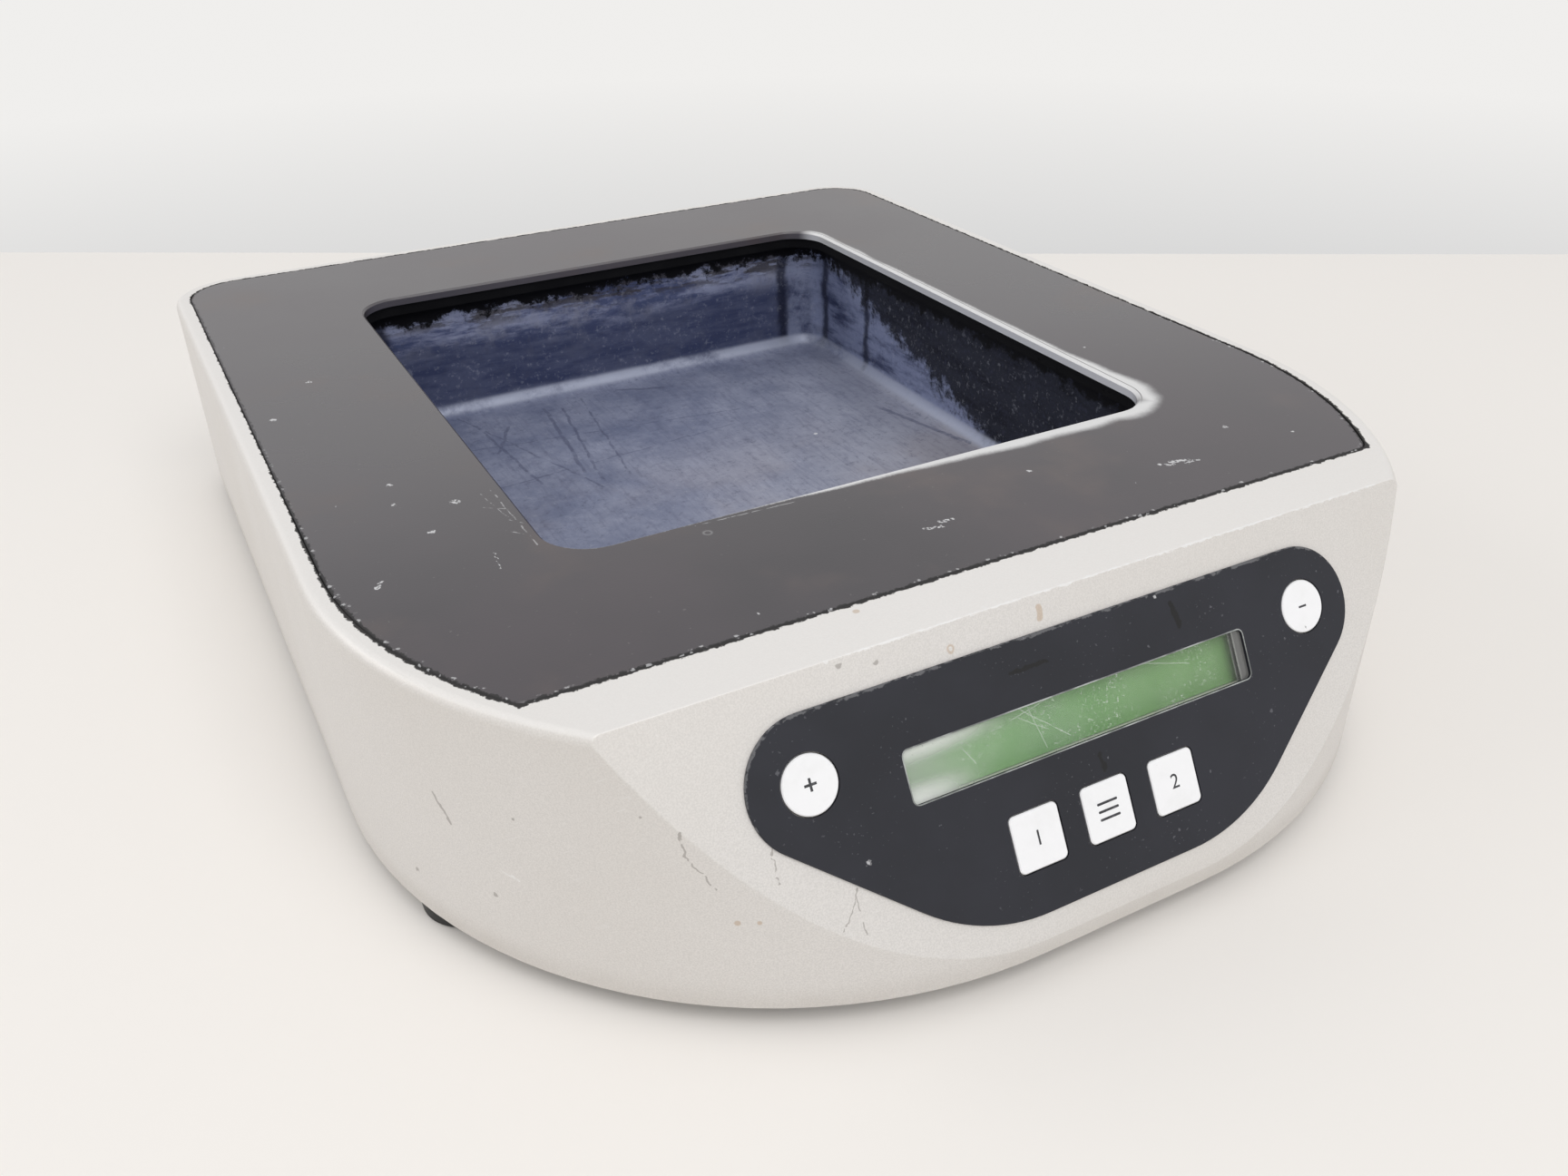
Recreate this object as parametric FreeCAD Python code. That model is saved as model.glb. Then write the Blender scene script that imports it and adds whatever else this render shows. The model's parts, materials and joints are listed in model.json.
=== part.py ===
"""Laboratory water bath for floating thin sections: a slim bench unit with a heated basin.

Millimetres, +Z up, +X to the right of someone facing the controls, +Y to the back.
The origin is the centre of the whole object's footprint, at bench level.
"""
import FreeCAD, Part
import math
import os

# Housing, seen from above: straight sides, wide front corners and small back corners
body_width = 311.2
body_depth = 390.6
body_height = 73.0
wall = 3.0
front_corner_radius = 131.5
back_corner_radius = 24.0
rim_width = 5.3
rim_radius = 2.5
skirt_chamfer = 0.8

# Control face: a flat cut across the front, sloping down from a crease
crease_from_front = 38.6
face_angle = 60.4
face_edge_radius = 0.5
plate_from_crease = 17.1

# Top plate and the way it is held
plate_thickness = 3.0
plate_corner_radius = 7.5
plate_gap = 0.3
plate_edge_chamfer = 0.4
ledge_width = 8.0
ledge_thickness = 3.0
clamp_inset = 4.0
clamp_radius = 8.0
clamp_thickness = 1.5
side_clamp_y = 45.0
rib_count = 4
front_clamp_x = 62.0
back_clamp_x = 75.0

# Basin, with its flange clamped below the plate on a seal
opening_side_margin = 53.8
opening_front_margin = 54.8
opening_back_margin = 55.1
opening_corner_radius = 14.0
opening_edge_chamfer = 0.7
basin_depth = 54.0
basin_wall = 2.0
basin_setback = 6.8
basin_corner_radius = 12.0
basin_floor_radius = 6.0
seal_thickness = 4.0
seal_setback = 0.8
seal_width = 12.0
flange_width = 16.0
basin_stud_spread = 62.0

# Small metric fasteners
stud_radius = 1.5
hole_radius = 1.65
nut_across_flats = 5.5
nut_height = 2.4
head_radius = 2.8
head_height = 1.8
head_chamfer = 0.5
thread_clearance = 0.05
stud_below_nut = 2.0
pilot_floor = 2.0

# Heating below the basin
mat_thickness = 1.5
mat_margin = 2.0
sensor_block_length = 26.0
sensor_block_width = 12.0
sensor_block_height = 8.0
sensor_radius = 2.0
sensor_length = 30.0
cutout_radius = 8.0
cutout_height = 9.0
cutout_x = 52.0
cutout_blade = 0.8
pocket_clearance = 1.0
insulation_wall = 8.0
insulation_height = 52.0
insulation_clearance = 0.3

# Base plate and feet
foot_height = 6.0
foot_top_radius = 13.0
foot_bottom_radius = 12.4
foot_recess_radius = 5.0
foot_recess_depth = 3.0
foot_from_side = 20.6
front_foot_from_front = 92.1
back_foot_from_back = 42.0
base_thickness = 1.5
base_gap = 0.3
boss_radius = 4.5
boss_height = 12.0
boss_sunk = 1.0
vent_width = 3.0
vent_length = 34.0
vent_pitch = 9.0
vent_count = 7

# Keypad overlay on the control face: round ends, slanting sides, rounded lower corners
overlay_thickness = 0.8
overlay_width = 175.8
overlay_top = 8.6
overlay_bottom = 72.1
overlay_end_radius = 16.05
overlay_side_angle = 39.8
overlay_lower_radius = 50.0
overlay_edge_chamfer = 0.2

# Keys
round_key_radius = 6.8
round_key_x = 72.8
round_key_down = 24.3
square_key_width = 13.7
square_key_height = 13.9
square_key_radius = 1.5
square_key_pitch = 20.65
square_key_down = 54.5
key_gap = 0.35
key_proud = 0.15
key_thickness = 1.35
key_edge_chamfer = 0.25
key_travel = 0.5
key_rest_gap = 0.8
key_stem_radius = 1.7
key_stem_clearance = 0.1
switch_size = 6.0
switch_height = 3.5
actuator_radius = 1.4
actuator_length = 2.5
actuator_sunk = 1.5
actuator_clearance = 0.08

# Display
window_width = 101.1
window_height = 12.7
window_down = 30.7
window_x = 0.9
window_radius = 1.2
window_margin = 2.0
window_thickness = 1.5
window_clearance = 0.1
sight_margin = 0.5
display_gap = 0.3
bezel_side_margin = 5.5
bezel_end_margin = 7.2
bezel_depth = 6.0
bezel_sheet = 0.5
glass_margin = 2.5
glass_thickness = 2.0
display_board_side_margin = 5.0
display_board_end_margin = 3.0
board_thickness = 1.6
spacer_radius = 2.6
display_hole_inset = 3.2

# Control board, parallel to the control face
control_board_depth = 16.0
control_board_top = 7.0
control_board_bottom = 66.0
control_board_side_margin = 25.2
control_board_foot_margin = 40.2
control_boss_radius = 3.6
control_boss_inset = 6.0
chip_height = 3.4
chip_left = -60.0
chip_gap = 12.0
connector_width = 22.0
processor_width = 36.0
driver_width = 20.0
chip_depth = 10.0

# Power board, lying on the base plate behind the basin
power_board_width = 126.0
power_board_depth = 33.0
power_board_from_side = 22.6
power_board_from_back = 4.0
power_board_lift = 7.0
transformer_width = 36.0
transformer_depth = 26.0
transformer_height = 30.0
transformer_leg = 6.0
transformer_from_end = 10.0
coil_clearance = 0.4
heatsink_width = 38.0
heatsink_height = 26.0
heatsink_depth = 14.0
heatsink_base = 2.5
fin_thickness = 1.4
fin_count = 7
triac_width = 10.0
triac_height = 9.0
triac_depth = 4.5
triac_lift = 5.0
tab_height = 16.0
tab_thickness = 1.3
tab_hole_radius = 1.8
lead_pitch = 2.5
lead_width = 0.8
lead_thickness = 0.5
terminal_pitch = 7.5
terminal_count = 5
terminal_depth = 8.0
terminal_height = 10.0
terminal_screw_radius = 1.9
terminal_mouth_radius = 1.6
part_spacing = 6.0

# Mains entry module in the back wall
entry_from_side = 71.6
entry_up = 31.0
entry_flange_width = 72.0
entry_flange_height = 33.0
entry_flange_thickness = 2.0
entry_flange_radius = 3.0
entry_body_width = 59.0
entry_body_height = 27.6
entry_body_depth = 25.0
entry_screw_spacing = 65.0
socket_width = 24.2
socket_height = 16.6
socket_depth = 16.5
socket_chamfer = 5.0
pin_width = 2.0
pin_height = 4.0
pin_reach = 14.5
pin_tail = 7.0
pin_spacing = 14.0
pin_stagger = 2.0
rocker_from_socket = 20.6
rocker_width = 11.6
rocker_side_gap = 0.4
rocker_half_length = 9.6
rocker_crown = 5.2
rocker_dip = 3.0
rocker_dip_spread = 15.0
rocker_belly = 2.8
rocker_tilt = 12.0
rocker_pivot_depth = 3.5
rocker_axle_radius = 1.4
rocker_axle_length = 1.4
drawer_from_socket = 21.0
drawer_width = 12.4
drawer_height = 23.4
drawer_depth = 20.0
drawer_gap = 0.3
drawer_face_thickness = 1.6
drawer_face_overlap = 1.0
fuse_radius = 2.6
fuse_length = 20.0
fuse_glass_radius = 2.3
fuse_cap_length = 5.0
fuse_gap = 0.15
fuse_wall = 1.0
notch_depth = 1.5

# Places that follow from the sizes above
V = FreeCAD.Vector
OVERSIZE = 2.0 * (body_width + body_depth)
rocker_reach = math.hypot(rocker_half_length, rocker_crown)
rocker_stand_out = (
    rocker_half_length * math.sin(math.radians(rocker_tilt))
    + rocker_crown * math.cos(math.radians(rocker_tilt))
    - rocker_pivot_depth
)
whole_depth = body_depth + entry_flange_thickness + rocker_stand_out
front_y = -whole_depth / 2
back_y = front_y + body_depth
half_width = body_width / 2
skirt_z = foot_height
top_z = foot_height + body_height
crease_y = front_y + crease_from_front
plate_front_y = crease_y + plate_from_crease
opening_width = 2 * (half_width - rim_width - opening_side_margin)
opening_front_y = plate_front_y + opening_front_margin
opening_back_y = back_y - rim_width - opening_back_margin
opening_length = opening_back_y - opening_front_y
opening_y = (opening_front_y + opening_back_y) / 2
plate_under_z = top_z - plate_thickness
ledge_under_z = plate_under_z - ledge_thickness
flange_top_z = plate_under_z - seal_thickness
flange_under_z = flange_top_z - basin_wall
basin_floor_z = top_z - basin_depth
basin_under_z = basin_floor_z - basin_wall
mat_under_z = basin_under_z - mat_thickness
base_top_z = skirt_z + base_thickness
entry_x = half_width - entry_from_side
corner_centre_x = half_width - front_corner_radius
corner_centre_y = front_y + front_corner_radius
control_board_top_width = 2 * (round_key_x + control_board_side_margin)
control_board_bottom_width = 2 * (square_key_pitch + control_board_foot_margin)
bezel_width = window_width + 2 * bezel_side_margin
bezel_height = window_height + 2 * bezel_end_margin
display_board_width = bezel_width + 2 * display_board_side_margin
display_board_height = bezel_height + 2 * display_board_end_margin
basin_half_x = opening_width / 2 + basin_setback
basin_half_y = opening_length / 2 + basin_setback


def block(x0, x1, y0, y1, z0, z1):
    """A box between two corners."""
    return Part.makeBox(x1 - x0, y1 - y0, z1 - z0, V(x0, y0, z0))


def rod(radius, x, y, z0, z1):
    """An upright cylinder."""
    return Part.makeCylinder(radius, z1 - z0, V(x, y, z0))


def rod_back(radius, x, z, y0, y1):
    """A cylinder that points to the back."""
    return Part.makeCylinder(radius, y1 - y0, V(x, y0, z), V(0, 1, 0))


def arc(cx, cy, radius, start, end):
    """An arc in the XY plane, its angles in degrees."""
    def on_circle(angle):
        turn = math.radians(angle)
        return V(cx + radius * math.cos(turn), cy + radius * math.sin(turn), 0)
    return Part.Arc(on_circle(start), on_circle((start + end) / 2), on_circle(end)).toShape()


def closed_face(edges):
    """A flat face from arcs in order, with straight edges put in between them."""
    loop = []
    for here, following in zip(edges, edges[1:] + edges[:1]):
        loop.append(here)
        gap_start = here.valueAt(here.LastParameter)
        gap_end = following.valueAt(following.FirstParameter)
        if gap_start.distanceToPoint(gap_end) > 1e-6:
            loop.append(Part.makeLine(gap_start, gap_end))
    return Part.Face(Part.Wire(loop))


def polygon_face(points):
    """A flat face with straight sides."""
    return Part.Face(Part.makePolygon(points + points[:1]))


def raised(face, z0, z1):
    """A face in the XY plane as a solid between two heights."""
    solid = face.extrude(V(0, 0, z1 - z0))
    solid.translate(V(0, 0, z0))
    return solid


def rounded_block(half_x, half_y, radius, z0, z1, cx=0.0, cy=0.0):
    """A block with rounded upright edges."""
    x = half_x - radius
    y = half_y - radius
    edges = [
        arc(cx + x, cy + y, radius, 0, 90),
        arc(cx - x, cy + y, radius, 90, 180),
        arc(cx - x, cy - y, radius, 180, 270),
        arc(cx + x, cy - y, radius, 270, 360),
    ]
    return raised(closed_face(edges), z0, z1)


def edges_at(shape, z):
    """The edges of a shape that lie all at one height."""
    return [
        edge for edge in shape.Edges
        if abs(edge.BoundBox.ZMin - z) < 1e-4 and abs(edge.BoundBox.ZMax - z) < 1e-4
    ]


def upright_edges(shape, test):
    """The upright edges whose middle passes a test."""
    found = []
    for edge in shape.Edges:
        box = edge.BoundBox
        if box.XLength < 1e-4 and box.YLength < 1e-4 and test(box.Center):
            found.append(edge)
    return found


def joined(solids):
    """Touching or crossing solids as one."""
    solid = solids[0].fuse(solids[1:]) if len(solids) > 1 else solids[0]
    return solid.removeSplitter()


def body_outline(inset):
    """The housing seen from above, moved inwards by an inset."""
    back_x = half_width - back_corner_radius
    back_centre_y = back_y - back_corner_radius
    corner = front_corner_radius - inset
    edges = [
        arc(corner_centre_x, corner_centre_y, corner, -90, 0),
        arc(back_x, back_centre_y, back_corner_radius - inset, 0, 90),
        arc(-back_x, back_centre_y, back_corner_radius - inset, 90, 180),
        arc(-corner_centre_x, corner_centre_y, corner, 180, 270),
    ]
    return closed_face(edges)


def on_face(shape):
    """Moves a shape from flat, its +Y up the slope and +Z outwards, to the control face."""
    placed = shape.copy()
    turn = FreeCAD.Rotation(V(1, 0, 0), face_angle)
    placed.Placement = FreeCAD.Placement(V(0, crease_y, top_z), turn).multiply(placed.Placement)
    return placed


def beyond_face(height):
    """Everything further out than a height above the control face."""
    half = OVERSIZE / 2
    return on_face(block(-half, half, -half, half, height, height + half))


def control_face(shape):
    """The sloping flat of the housing."""
    lean = math.cos(math.radians(face_angle))
    for face in shape.Faces:
        normal = face.normalAt(0, 0)
        if normal.y < -0.1 and abs(normal.z - lean) < 1e-3 and face.Surface.TypeId.endswith("Plane"):
            return face


def plate_blank(inset, z0, z1):
    """The top plate's outline with an inset from the rim's inner edge."""
    blank = raised(body_outline(rim_width + inset), z0, z1)
    front = plate_front_y + inset
    blank = blank.common(block(-half_width, half_width, front, back_y, z0, z1))
    corners = upright_edges(blank, lambda middle: abs(middle.y - front) < 1e-3)
    return blank.makeFillet(plate_corner_radius - min(inset, plate_corner_radius / 2), corners)


def clamp_places():
    """Where the plate's own studs hold it to the ledge."""
    reach = rim_width + ledge_width + clamp_inset
    side_x = half_width - reach
    front = plate_front_y + ledge_width + clamp_inset
    back = back_y - reach
    return [
        (side_x, side_clamp_y),
        (-side_x, side_clamp_y),
        (front_clamp_x, front),
        (-front_clamp_x, front),
        (back_clamp_x, back),
        (-back_clamp_x, back),
    ]


def basin_stud_places():
    """Where studs hold the basin's flange: two on each side of the opening."""
    out = basin_setback + flange_width - nut_across_flats
    side_x = opening_width / 2 + out
    end_y = opening_length / 2 + out
    places = []
    for way in (-1, 1):
        for along in (-1, 1):
            places.append((way * side_x, opening_y + along * basin_stud_spread))
            places.append((along * basin_stud_spread, opening_y + way * end_y))
    return places


def base_boss_places():
    """Where screws hold the base plate: along the sides, the back and the front."""
    inset = wall + boss_radius - boss_sunk
    side_x = half_width - inset
    back = back_y - inset
    front = front_y + inset
    return [
        (side_x, corner_centre_y),
        (-side_x, corner_centre_y),
        (side_x, back - 2 * back_corner_radius),
        (-side_x, back - 2 * back_corner_radius),
        (0, back),
        (0, front),
    ]


def foot_places():
    """Feet by name."""
    side_x = half_width - foot_from_side
    front = front_y + front_foot_from_front
    back = back_y - back_foot_from_back
    return {
        "foot_front_left": (-side_x, front),
        "foot_front_right": (side_x, front),
        "foot_back_left": (-side_x, back),
        "foot_back_right": (side_x, back),
    }


def control_boss_places():
    """Where the control board is screwed to the face, as x and distance down the slope."""
    top_x = control_board_top_width / 2 - control_boss_inset
    bottom_x = control_board_bottom_width / 2 - control_boss_inset
    top = control_board_top + control_boss_inset
    bottom = control_board_bottom - control_boss_inset
    return [(-top_x, top), (top_x, top), (-bottom_x, bottom), (bottom_x, bottom)]


def key_outlines(grow):
    """Key outlines by name, flat on the control face, as face and centre."""
    keys = {}
    y = -round_key_down
    for name, x in (("plus", -round_key_x), ("minus", round_key_x)):
        circle = Part.Wire(Part.makeCircle(round_key_radius + grow, V(x, y, 0)))
        keys[name] = (Part.Face(circle), x, y)
    for name, place in (("preset_1", -1), ("menu", 0), ("preset_2", 1)):
        x = place * square_key_pitch
        half_x = square_key_width / 2 + grow
        half_y = square_key_height / 2 + grow
        radius = square_key_radius + grow
        solid = rounded_block(half_x, half_y, radius, 0, 1, x, -square_key_down)
        bottom = min(solid.Faces, key=lambda face: face.CenterOfMass.z)
        keys[name] = (bottom, x, -square_key_down)
    return keys


def gusset(y, way):
    """A rib that props the ledge against a side wall, way being the wall's side."""
    inner = half_width - wall
    reach = rim_width + ledge_width - wall
    profile = polygon_face([
        V(way * (inner + wall / 2), 0, ledge_under_z + ledge_thickness / 2),
        V(way * (inner - reach), 0, ledge_under_z + ledge_thickness / 2),
        V(way * (inner - reach), 0, ledge_under_z),
        V(way * (inner - wall / 2), 0, ledge_under_z - 2 * reach),
        V(way * (inner + wall / 2), 0, ledge_under_z - 2 * reach),
    ])
    rib = profile.extrude(V(0, wall / 2, 0))
    rib.translate(V(0, y - wall / 4, 0))
    return rib


def housing_cavity():
    """The hollow of the housing, open below and carried up under the deck before the plate."""
    main = raised(body_outline(wall), skirt_z - 1, ledge_under_z)
    deck = raised(body_outline(wall), ledge_under_z - 1, top_z - wall)
    deck_back = plate_front_y - wall
    deck = deck.common(block(-half_width, half_width, front_y, deck_back, skirt_z, top_z))
    return main.fuse(deck).cut(beyond_face(-wall))


def housing():
    """Moulded housing: walls, rim, control face, plate ledge, ribs and bosses."""
    shell = raised(body_outline(0), skirt_z, top_z)
    shell = shell.makeFillet(rim_radius, edges_at(shell, top_z))
    shell = shell.makeChamfer(skirt_chamfer, edges_at(shell, skirt_z))
    shell = shell.cut(beyond_face(0))
    shell = shell.makeFillet(face_edge_radius, control_face(shell).Edges)
    shell = shell.cut(housing_cavity())
    shell = shell.cut(plate_blank(0, plate_under_z, top_z + 1))
    shell = shell.cut(plate_blank(ledge_width, ledge_under_z - 1, top_z))
    ribs = []
    rib_pitch = (back_y - back_corner_radius - corner_centre_y) / (rib_count - 0.5)
    for way in (-1, 1):
        for step in range(rib_count):
            y = corner_centre_y + step * rib_pitch
            if abs(y - side_clamp_y) > clamp_radius:
                ribs.append(gusset(y, way))
    bosses = []
    for x, y in base_boss_places():
        boss = rod(boss_radius, x, y, base_top_z, base_top_z + boss_height)
        bosses.append(boss.cut(beyond_face(-wall / 2)))
    for x, down in control_boss_places():
        bosses.append(on_face(rod(control_boss_radius, x, -down, -control_board_depth, -wall / 2)))
    shell = joined([shell] + ribs + bosses)
    cuts = []
    for x, y in base_boss_places():
        pilot_end = base_top_z + boss_height - pilot_floor
        cuts.append(rod(stud_radius + thread_clearance, x, y, skirt_z, pilot_end))
    for x, down in control_boss_places():
        cuts.append(on_face(rod(
            stud_radius + thread_clearance, x, -down,
            -control_board_depth - 1, -wall - pilot_floor)))
    half_x = window_width / 2
    half_y = window_height / 2
    recess = window_margin + window_clearance
    cuts.append(on_face(rounded_block(
        half_x + recess, half_y + recess, window_radius + recess,
        -window_thickness, 1, window_x, -window_down)))
    cuts.append(on_face(rounded_block(
        half_x + sight_margin, half_y + sight_margin, window_radius + sight_margin,
        -wall - 1, 1, window_x, -window_down)))
    for face, x, y in key_outlines(key_gap).values():
        pocket_floor = overlay_thickness + key_proud - key_thickness - key_rest_gap
        cuts.append(on_face(raised(face, pocket_floor, 1)))
        guide = key_stem_radius + key_stem_clearance
        cuts.append(on_face(rod(guide, x, y, -wall - 1, 1)))
    entry_z = skirt_z + entry_up
    half_x = entry_body_width / 2
    half_z = entry_body_height / 2
    cuts.append(block(
        entry_x - half_x, entry_x + half_x, back_y - wall - 1, back_y + 1,
        entry_z - half_z, entry_z + half_z))
    for way in (-1, 1):
        x = entry_x + way * entry_screw_spacing / 2
        cuts.append(rod_back(hole_radius, x, entry_z, back_y - wall - 1, back_y + 1))
    return shell.cut(cuts)


def stud(x, y, length):
    """A weld stud under the top plate."""
    return rod(stud_radius, x, y, plate_under_z - length, plate_under_z)


def top_plate():
    """Coated aluminium plate with the opening."""
    plate = plate_blank(plate_gap, plate_under_z, top_z)
    plate = plate.makeChamfer(plate_edge_chamfer, edges_at(plate, top_z))
    hole = rounded_block(
        opening_width / 2, opening_length / 2, opening_corner_radius,
        plate_under_z - 1, top_z + 1, 0, opening_y)
    plate = plate.cut(hole)
    rim = [
        edge for edge in edges_at(plate, top_z)
        if abs(edge.BoundBox.Center.x) < opening_width / 2 + 1
        and abs(edge.BoundBox.Center.y - opening_y) < opening_length / 2 + 1
    ]
    return plate.makeChamfer(opening_edge_chamfer, rim)


def weld_studs():
    """Studs welded under the plate: short ones for the basin, longer ones for the ledge."""
    clamp_length = ledge_thickness + clamp_thickness + nut_height + stud_below_nut
    basin_length = seal_thickness + basin_wall + nut_height + stud_below_nut
    studs = [stud(x, y, clamp_length) for x, y in clamp_places()]
    return studs + [stud(x, y, basin_length) for x, y in basin_stud_places()]


def nut(x, y, z0):
    """A hexagon nut on an upright stud."""
    corner = nut_across_flats / math.sqrt(3)
    points = []
    for step in range(6):
        turn = math.radians(60 * step)
        points.append(V(x + corner * math.cos(turn), y + corner * math.sin(turn), 0))
    hexagon = raised(polygon_face(points), z0, z0 + nut_height)
    return hexagon.cut(rod(stud_radius + thread_clearance, x, y, z0 - 1, z0 + nut_height + 1))


def plate_clamps():
    """Wide washers that grip the housing's ledge from below."""
    z0 = ledge_under_z - clamp_thickness
    return [
        rod(clamp_radius, x, y, z0, ledge_under_z).cut(rod(hole_radius, x, y, z0 - 1, top_z))
        for x, y in clamp_places()
    ]


def plate_nuts():
    z0 = ledge_under_z - clamp_thickness - nut_height
    return [nut(x, y, z0) for x, y in clamp_places()]


def basin():
    """Drawn aluminium pan with a turned-out flange."""
    floor_outer = basin_floor_radius + basin_wall
    outer = rounded_block(
        basin_half_x + basin_wall, basin_half_y + basin_wall, basin_corner_radius + basin_wall,
        basin_under_z, flange_top_z, 0, opening_y)
    outer = outer.makeFillet(floor_outer, edges_at(outer, basin_under_z))
    flange = rounded_block(
        basin_half_x + flange_width, basin_half_y + flange_width,
        basin_corner_radius + flange_width / 2,
        flange_under_z, flange_top_z, 0, opening_y)
    inner = rounded_block(
        basin_half_x, basin_half_y, basin_corner_radius,
        basin_floor_z, flange_top_z + basin_floor_radius * 2, 0, opening_y)
    inner = inner.makeFillet(basin_floor_radius, edges_at(inner, basin_floor_z))
    pan = joined([outer, flange]).cut(inner)
    holes = [
        rod(hole_radius, x, y, flange_under_z - 1, flange_top_z + 1)
        for x, y in basin_stud_places()
    ]
    return pan.cut(holes)


def basin_seal():
    """Black sealing band between plate and flange."""
    outer = rounded_block(
        opening_width / 2 + seal_width, opening_length / 2 + seal_width,
        opening_corner_radius + seal_width, flange_top_z, plate_under_z, 0, opening_y)
    inner = rounded_block(
        opening_width / 2 + seal_setback, opening_length / 2 + seal_setback,
        opening_corner_radius, flange_top_z - 1, plate_under_z + 1, 0, opening_y)
    return outer.cut(inner)


def basin_nuts():
    return [nut(x, y, flange_under_z - nut_height) for x, y in basin_stud_places()]


def sensor_pocket(grow, z0, z1):
    """The space that the sensor block takes, with a margin."""
    half_x = sensor_block_length / 2 + grow
    half_y = sensor_block_width / 2 + grow
    return block(-half_x, half_x, opening_y - half_y, opening_y + half_y, z0, z1)


def heating_mat():
    """Silicone heater bonded to the flat of the basin's underside."""
    inset = basin_floor_radius + mat_margin
    mat = rounded_block(
        basin_half_x - inset, basin_half_y - inset, basin_corner_radius,
        mat_under_z, basin_under_z, 0, opening_y)
    mat = mat.cut(sensor_pocket(pocket_clearance, mat_under_z - 1, basin_under_z + 1))
    hole = rod(cutout_radius + pocket_clearance, cutout_x, opening_y, mat_under_z - 1, top_z)
    return mat.cut(hole)


def sensor_z():
    """Height of the sensor's axis."""
    return basin_under_z - sensor_block_height / 2


def sensor_rod(radius, half_length):
    """A cylinder along X on the sensor's axis."""
    start = V(-half_length, opening_y, sensor_z())
    return Part.makeCylinder(radius, 2 * half_length, start, V(1, 0, 0))


def sensor_block():
    """Aluminium block bonded to the basin, bored for the sensor."""
    solid = sensor_pocket(0, basin_under_z - sensor_block_height, basin_under_z)
    return solid.cut(sensor_rod(sensor_radius + thread_clearance, sensor_block_length))


def temperature_sensor():
    """Steel capsule with a tapered nose."""
    capsule = sensor_rod(sensor_radius, sensor_length / 2)
    nose = [edge for edge in capsule.Edges if edge.BoundBox.XMin > sensor_length / 2 - 1e-3]
    return capsule.makeChamfer(sensor_radius / 2, nose)


def overheat_cutout():
    """Snap-disc thermostat with two blade terminals, held against the basin."""
    z0 = basin_under_z - cutout_height
    solids = [
        rod(cutout_radius, cutout_x, opening_y, basin_under_z - cutout_height / 3, basin_under_z),
        rod(cutout_radius * 0.85, cutout_x, opening_y, z0, basin_under_z - cutout_height / 3),
    ]
    for way in (-1, 1):
        x = cutout_x + way * cutout_radius / 2
        half = cutout_radius / 4
        solids.append(block(
            x - cutout_blade / 2, x + cutout_blade / 2, opening_y - half, opening_y + half,
            base_top_z + pocket_clearance, z0 + cutout_blade))
    return joined(solids)


def insulation_tray():
    """Foam tray under and round the basin."""
    clear = basin_wall + insulation_clearance
    outer = rounded_block(
        basin_half_x + clear + insulation_wall, basin_half_y + clear + insulation_wall,
        basin_corner_radius + clear + insulation_wall,
        base_top_z, base_top_z + insulation_height, 0, opening_y)
    inner = rounded_block(
        basin_half_x + clear, basin_half_y + clear, basin_corner_radius + clear,
        mat_under_z, top_z, 0, opening_y)
    tray = outer.cut(inner)
    half = sensor_length / 2 + pocket_clearance
    lead_slot = block(
        -half, half, opening_y - sensor_block_width / 2 - pocket_clearance,
        opening_y + sensor_block_width / 2 + pocket_clearance,
        basin_under_z - sensor_block_height - pocket_clearance, top_z)
    cutout_well = rod(
        cutout_radius + pocket_clearance, cutout_x, opening_y, base_top_z - 1, top_z)
    return tray.cut([lead_slot, cutout_well])


def base_plate():
    """Sheet steel floor with vents and holes for feet and screws."""
    sheet = raised(body_outline(wall + base_gap), skirt_z, base_top_z)
    places = base_boss_places() + list(foot_places().values())
    cuts = [rod(hole_radius, x, y, skirt_z - 1, base_top_z + 1) for x, y in places]
    left, right, front, back = power_board_box()
    for step in range(vent_count):
        x = (left + right) / 2 + (step - (vent_count - 1) / 2) * vent_pitch
        half_y = vent_length / 2 - vent_width
        slot = rounded_block(
            vent_width / 2, half_y, vent_width / 2 - 0.01,
            skirt_z - 1, base_top_z + 1, x, (front + back) / 2)
        cuts.append(slot)
    return sheet.cut(cuts)


def foot(x, y):
    """A tapered rubber foot with a recess for its screw."""
    body = Part.makeCone(foot_bottom_radius, foot_top_radius, foot_height, V(x, y, 0))
    body = body.makeChamfer(skirt_chamfer, edges_at(body, 0))
    body = body.cut(rod(foot_recess_radius, x, y, -1, foot_recess_depth))
    return body.cut(rod(hole_radius, x, y, 0, foot_height + 1))


def pan_screw(x, y, seat, tip):
    """A screw pointing up, its head below the seat."""
    head = rod(head_radius, x, y, seat - head_height, seat)
    head = head.makeChamfer(head_chamfer, edges_at(head, seat - head_height))
    return joined([head, rod(stud_radius, x, y, seat - head_height / 2, tip)])


def foot_screws():
    tip = base_top_z + nut_height + stud_below_nut / 2
    return [pan_screw(x, y, foot_recess_depth, tip) for x, y in foot_places().values()]


def foot_nuts():
    return [nut(x, y, base_top_z) for x, y in foot_places().values()]


def base_screws():
    tip = base_top_z + boss_height - pilot_floor - stud_below_nut
    return [pan_screw(x, y, skirt_z, tip) for x, y in base_boss_places()]


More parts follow.
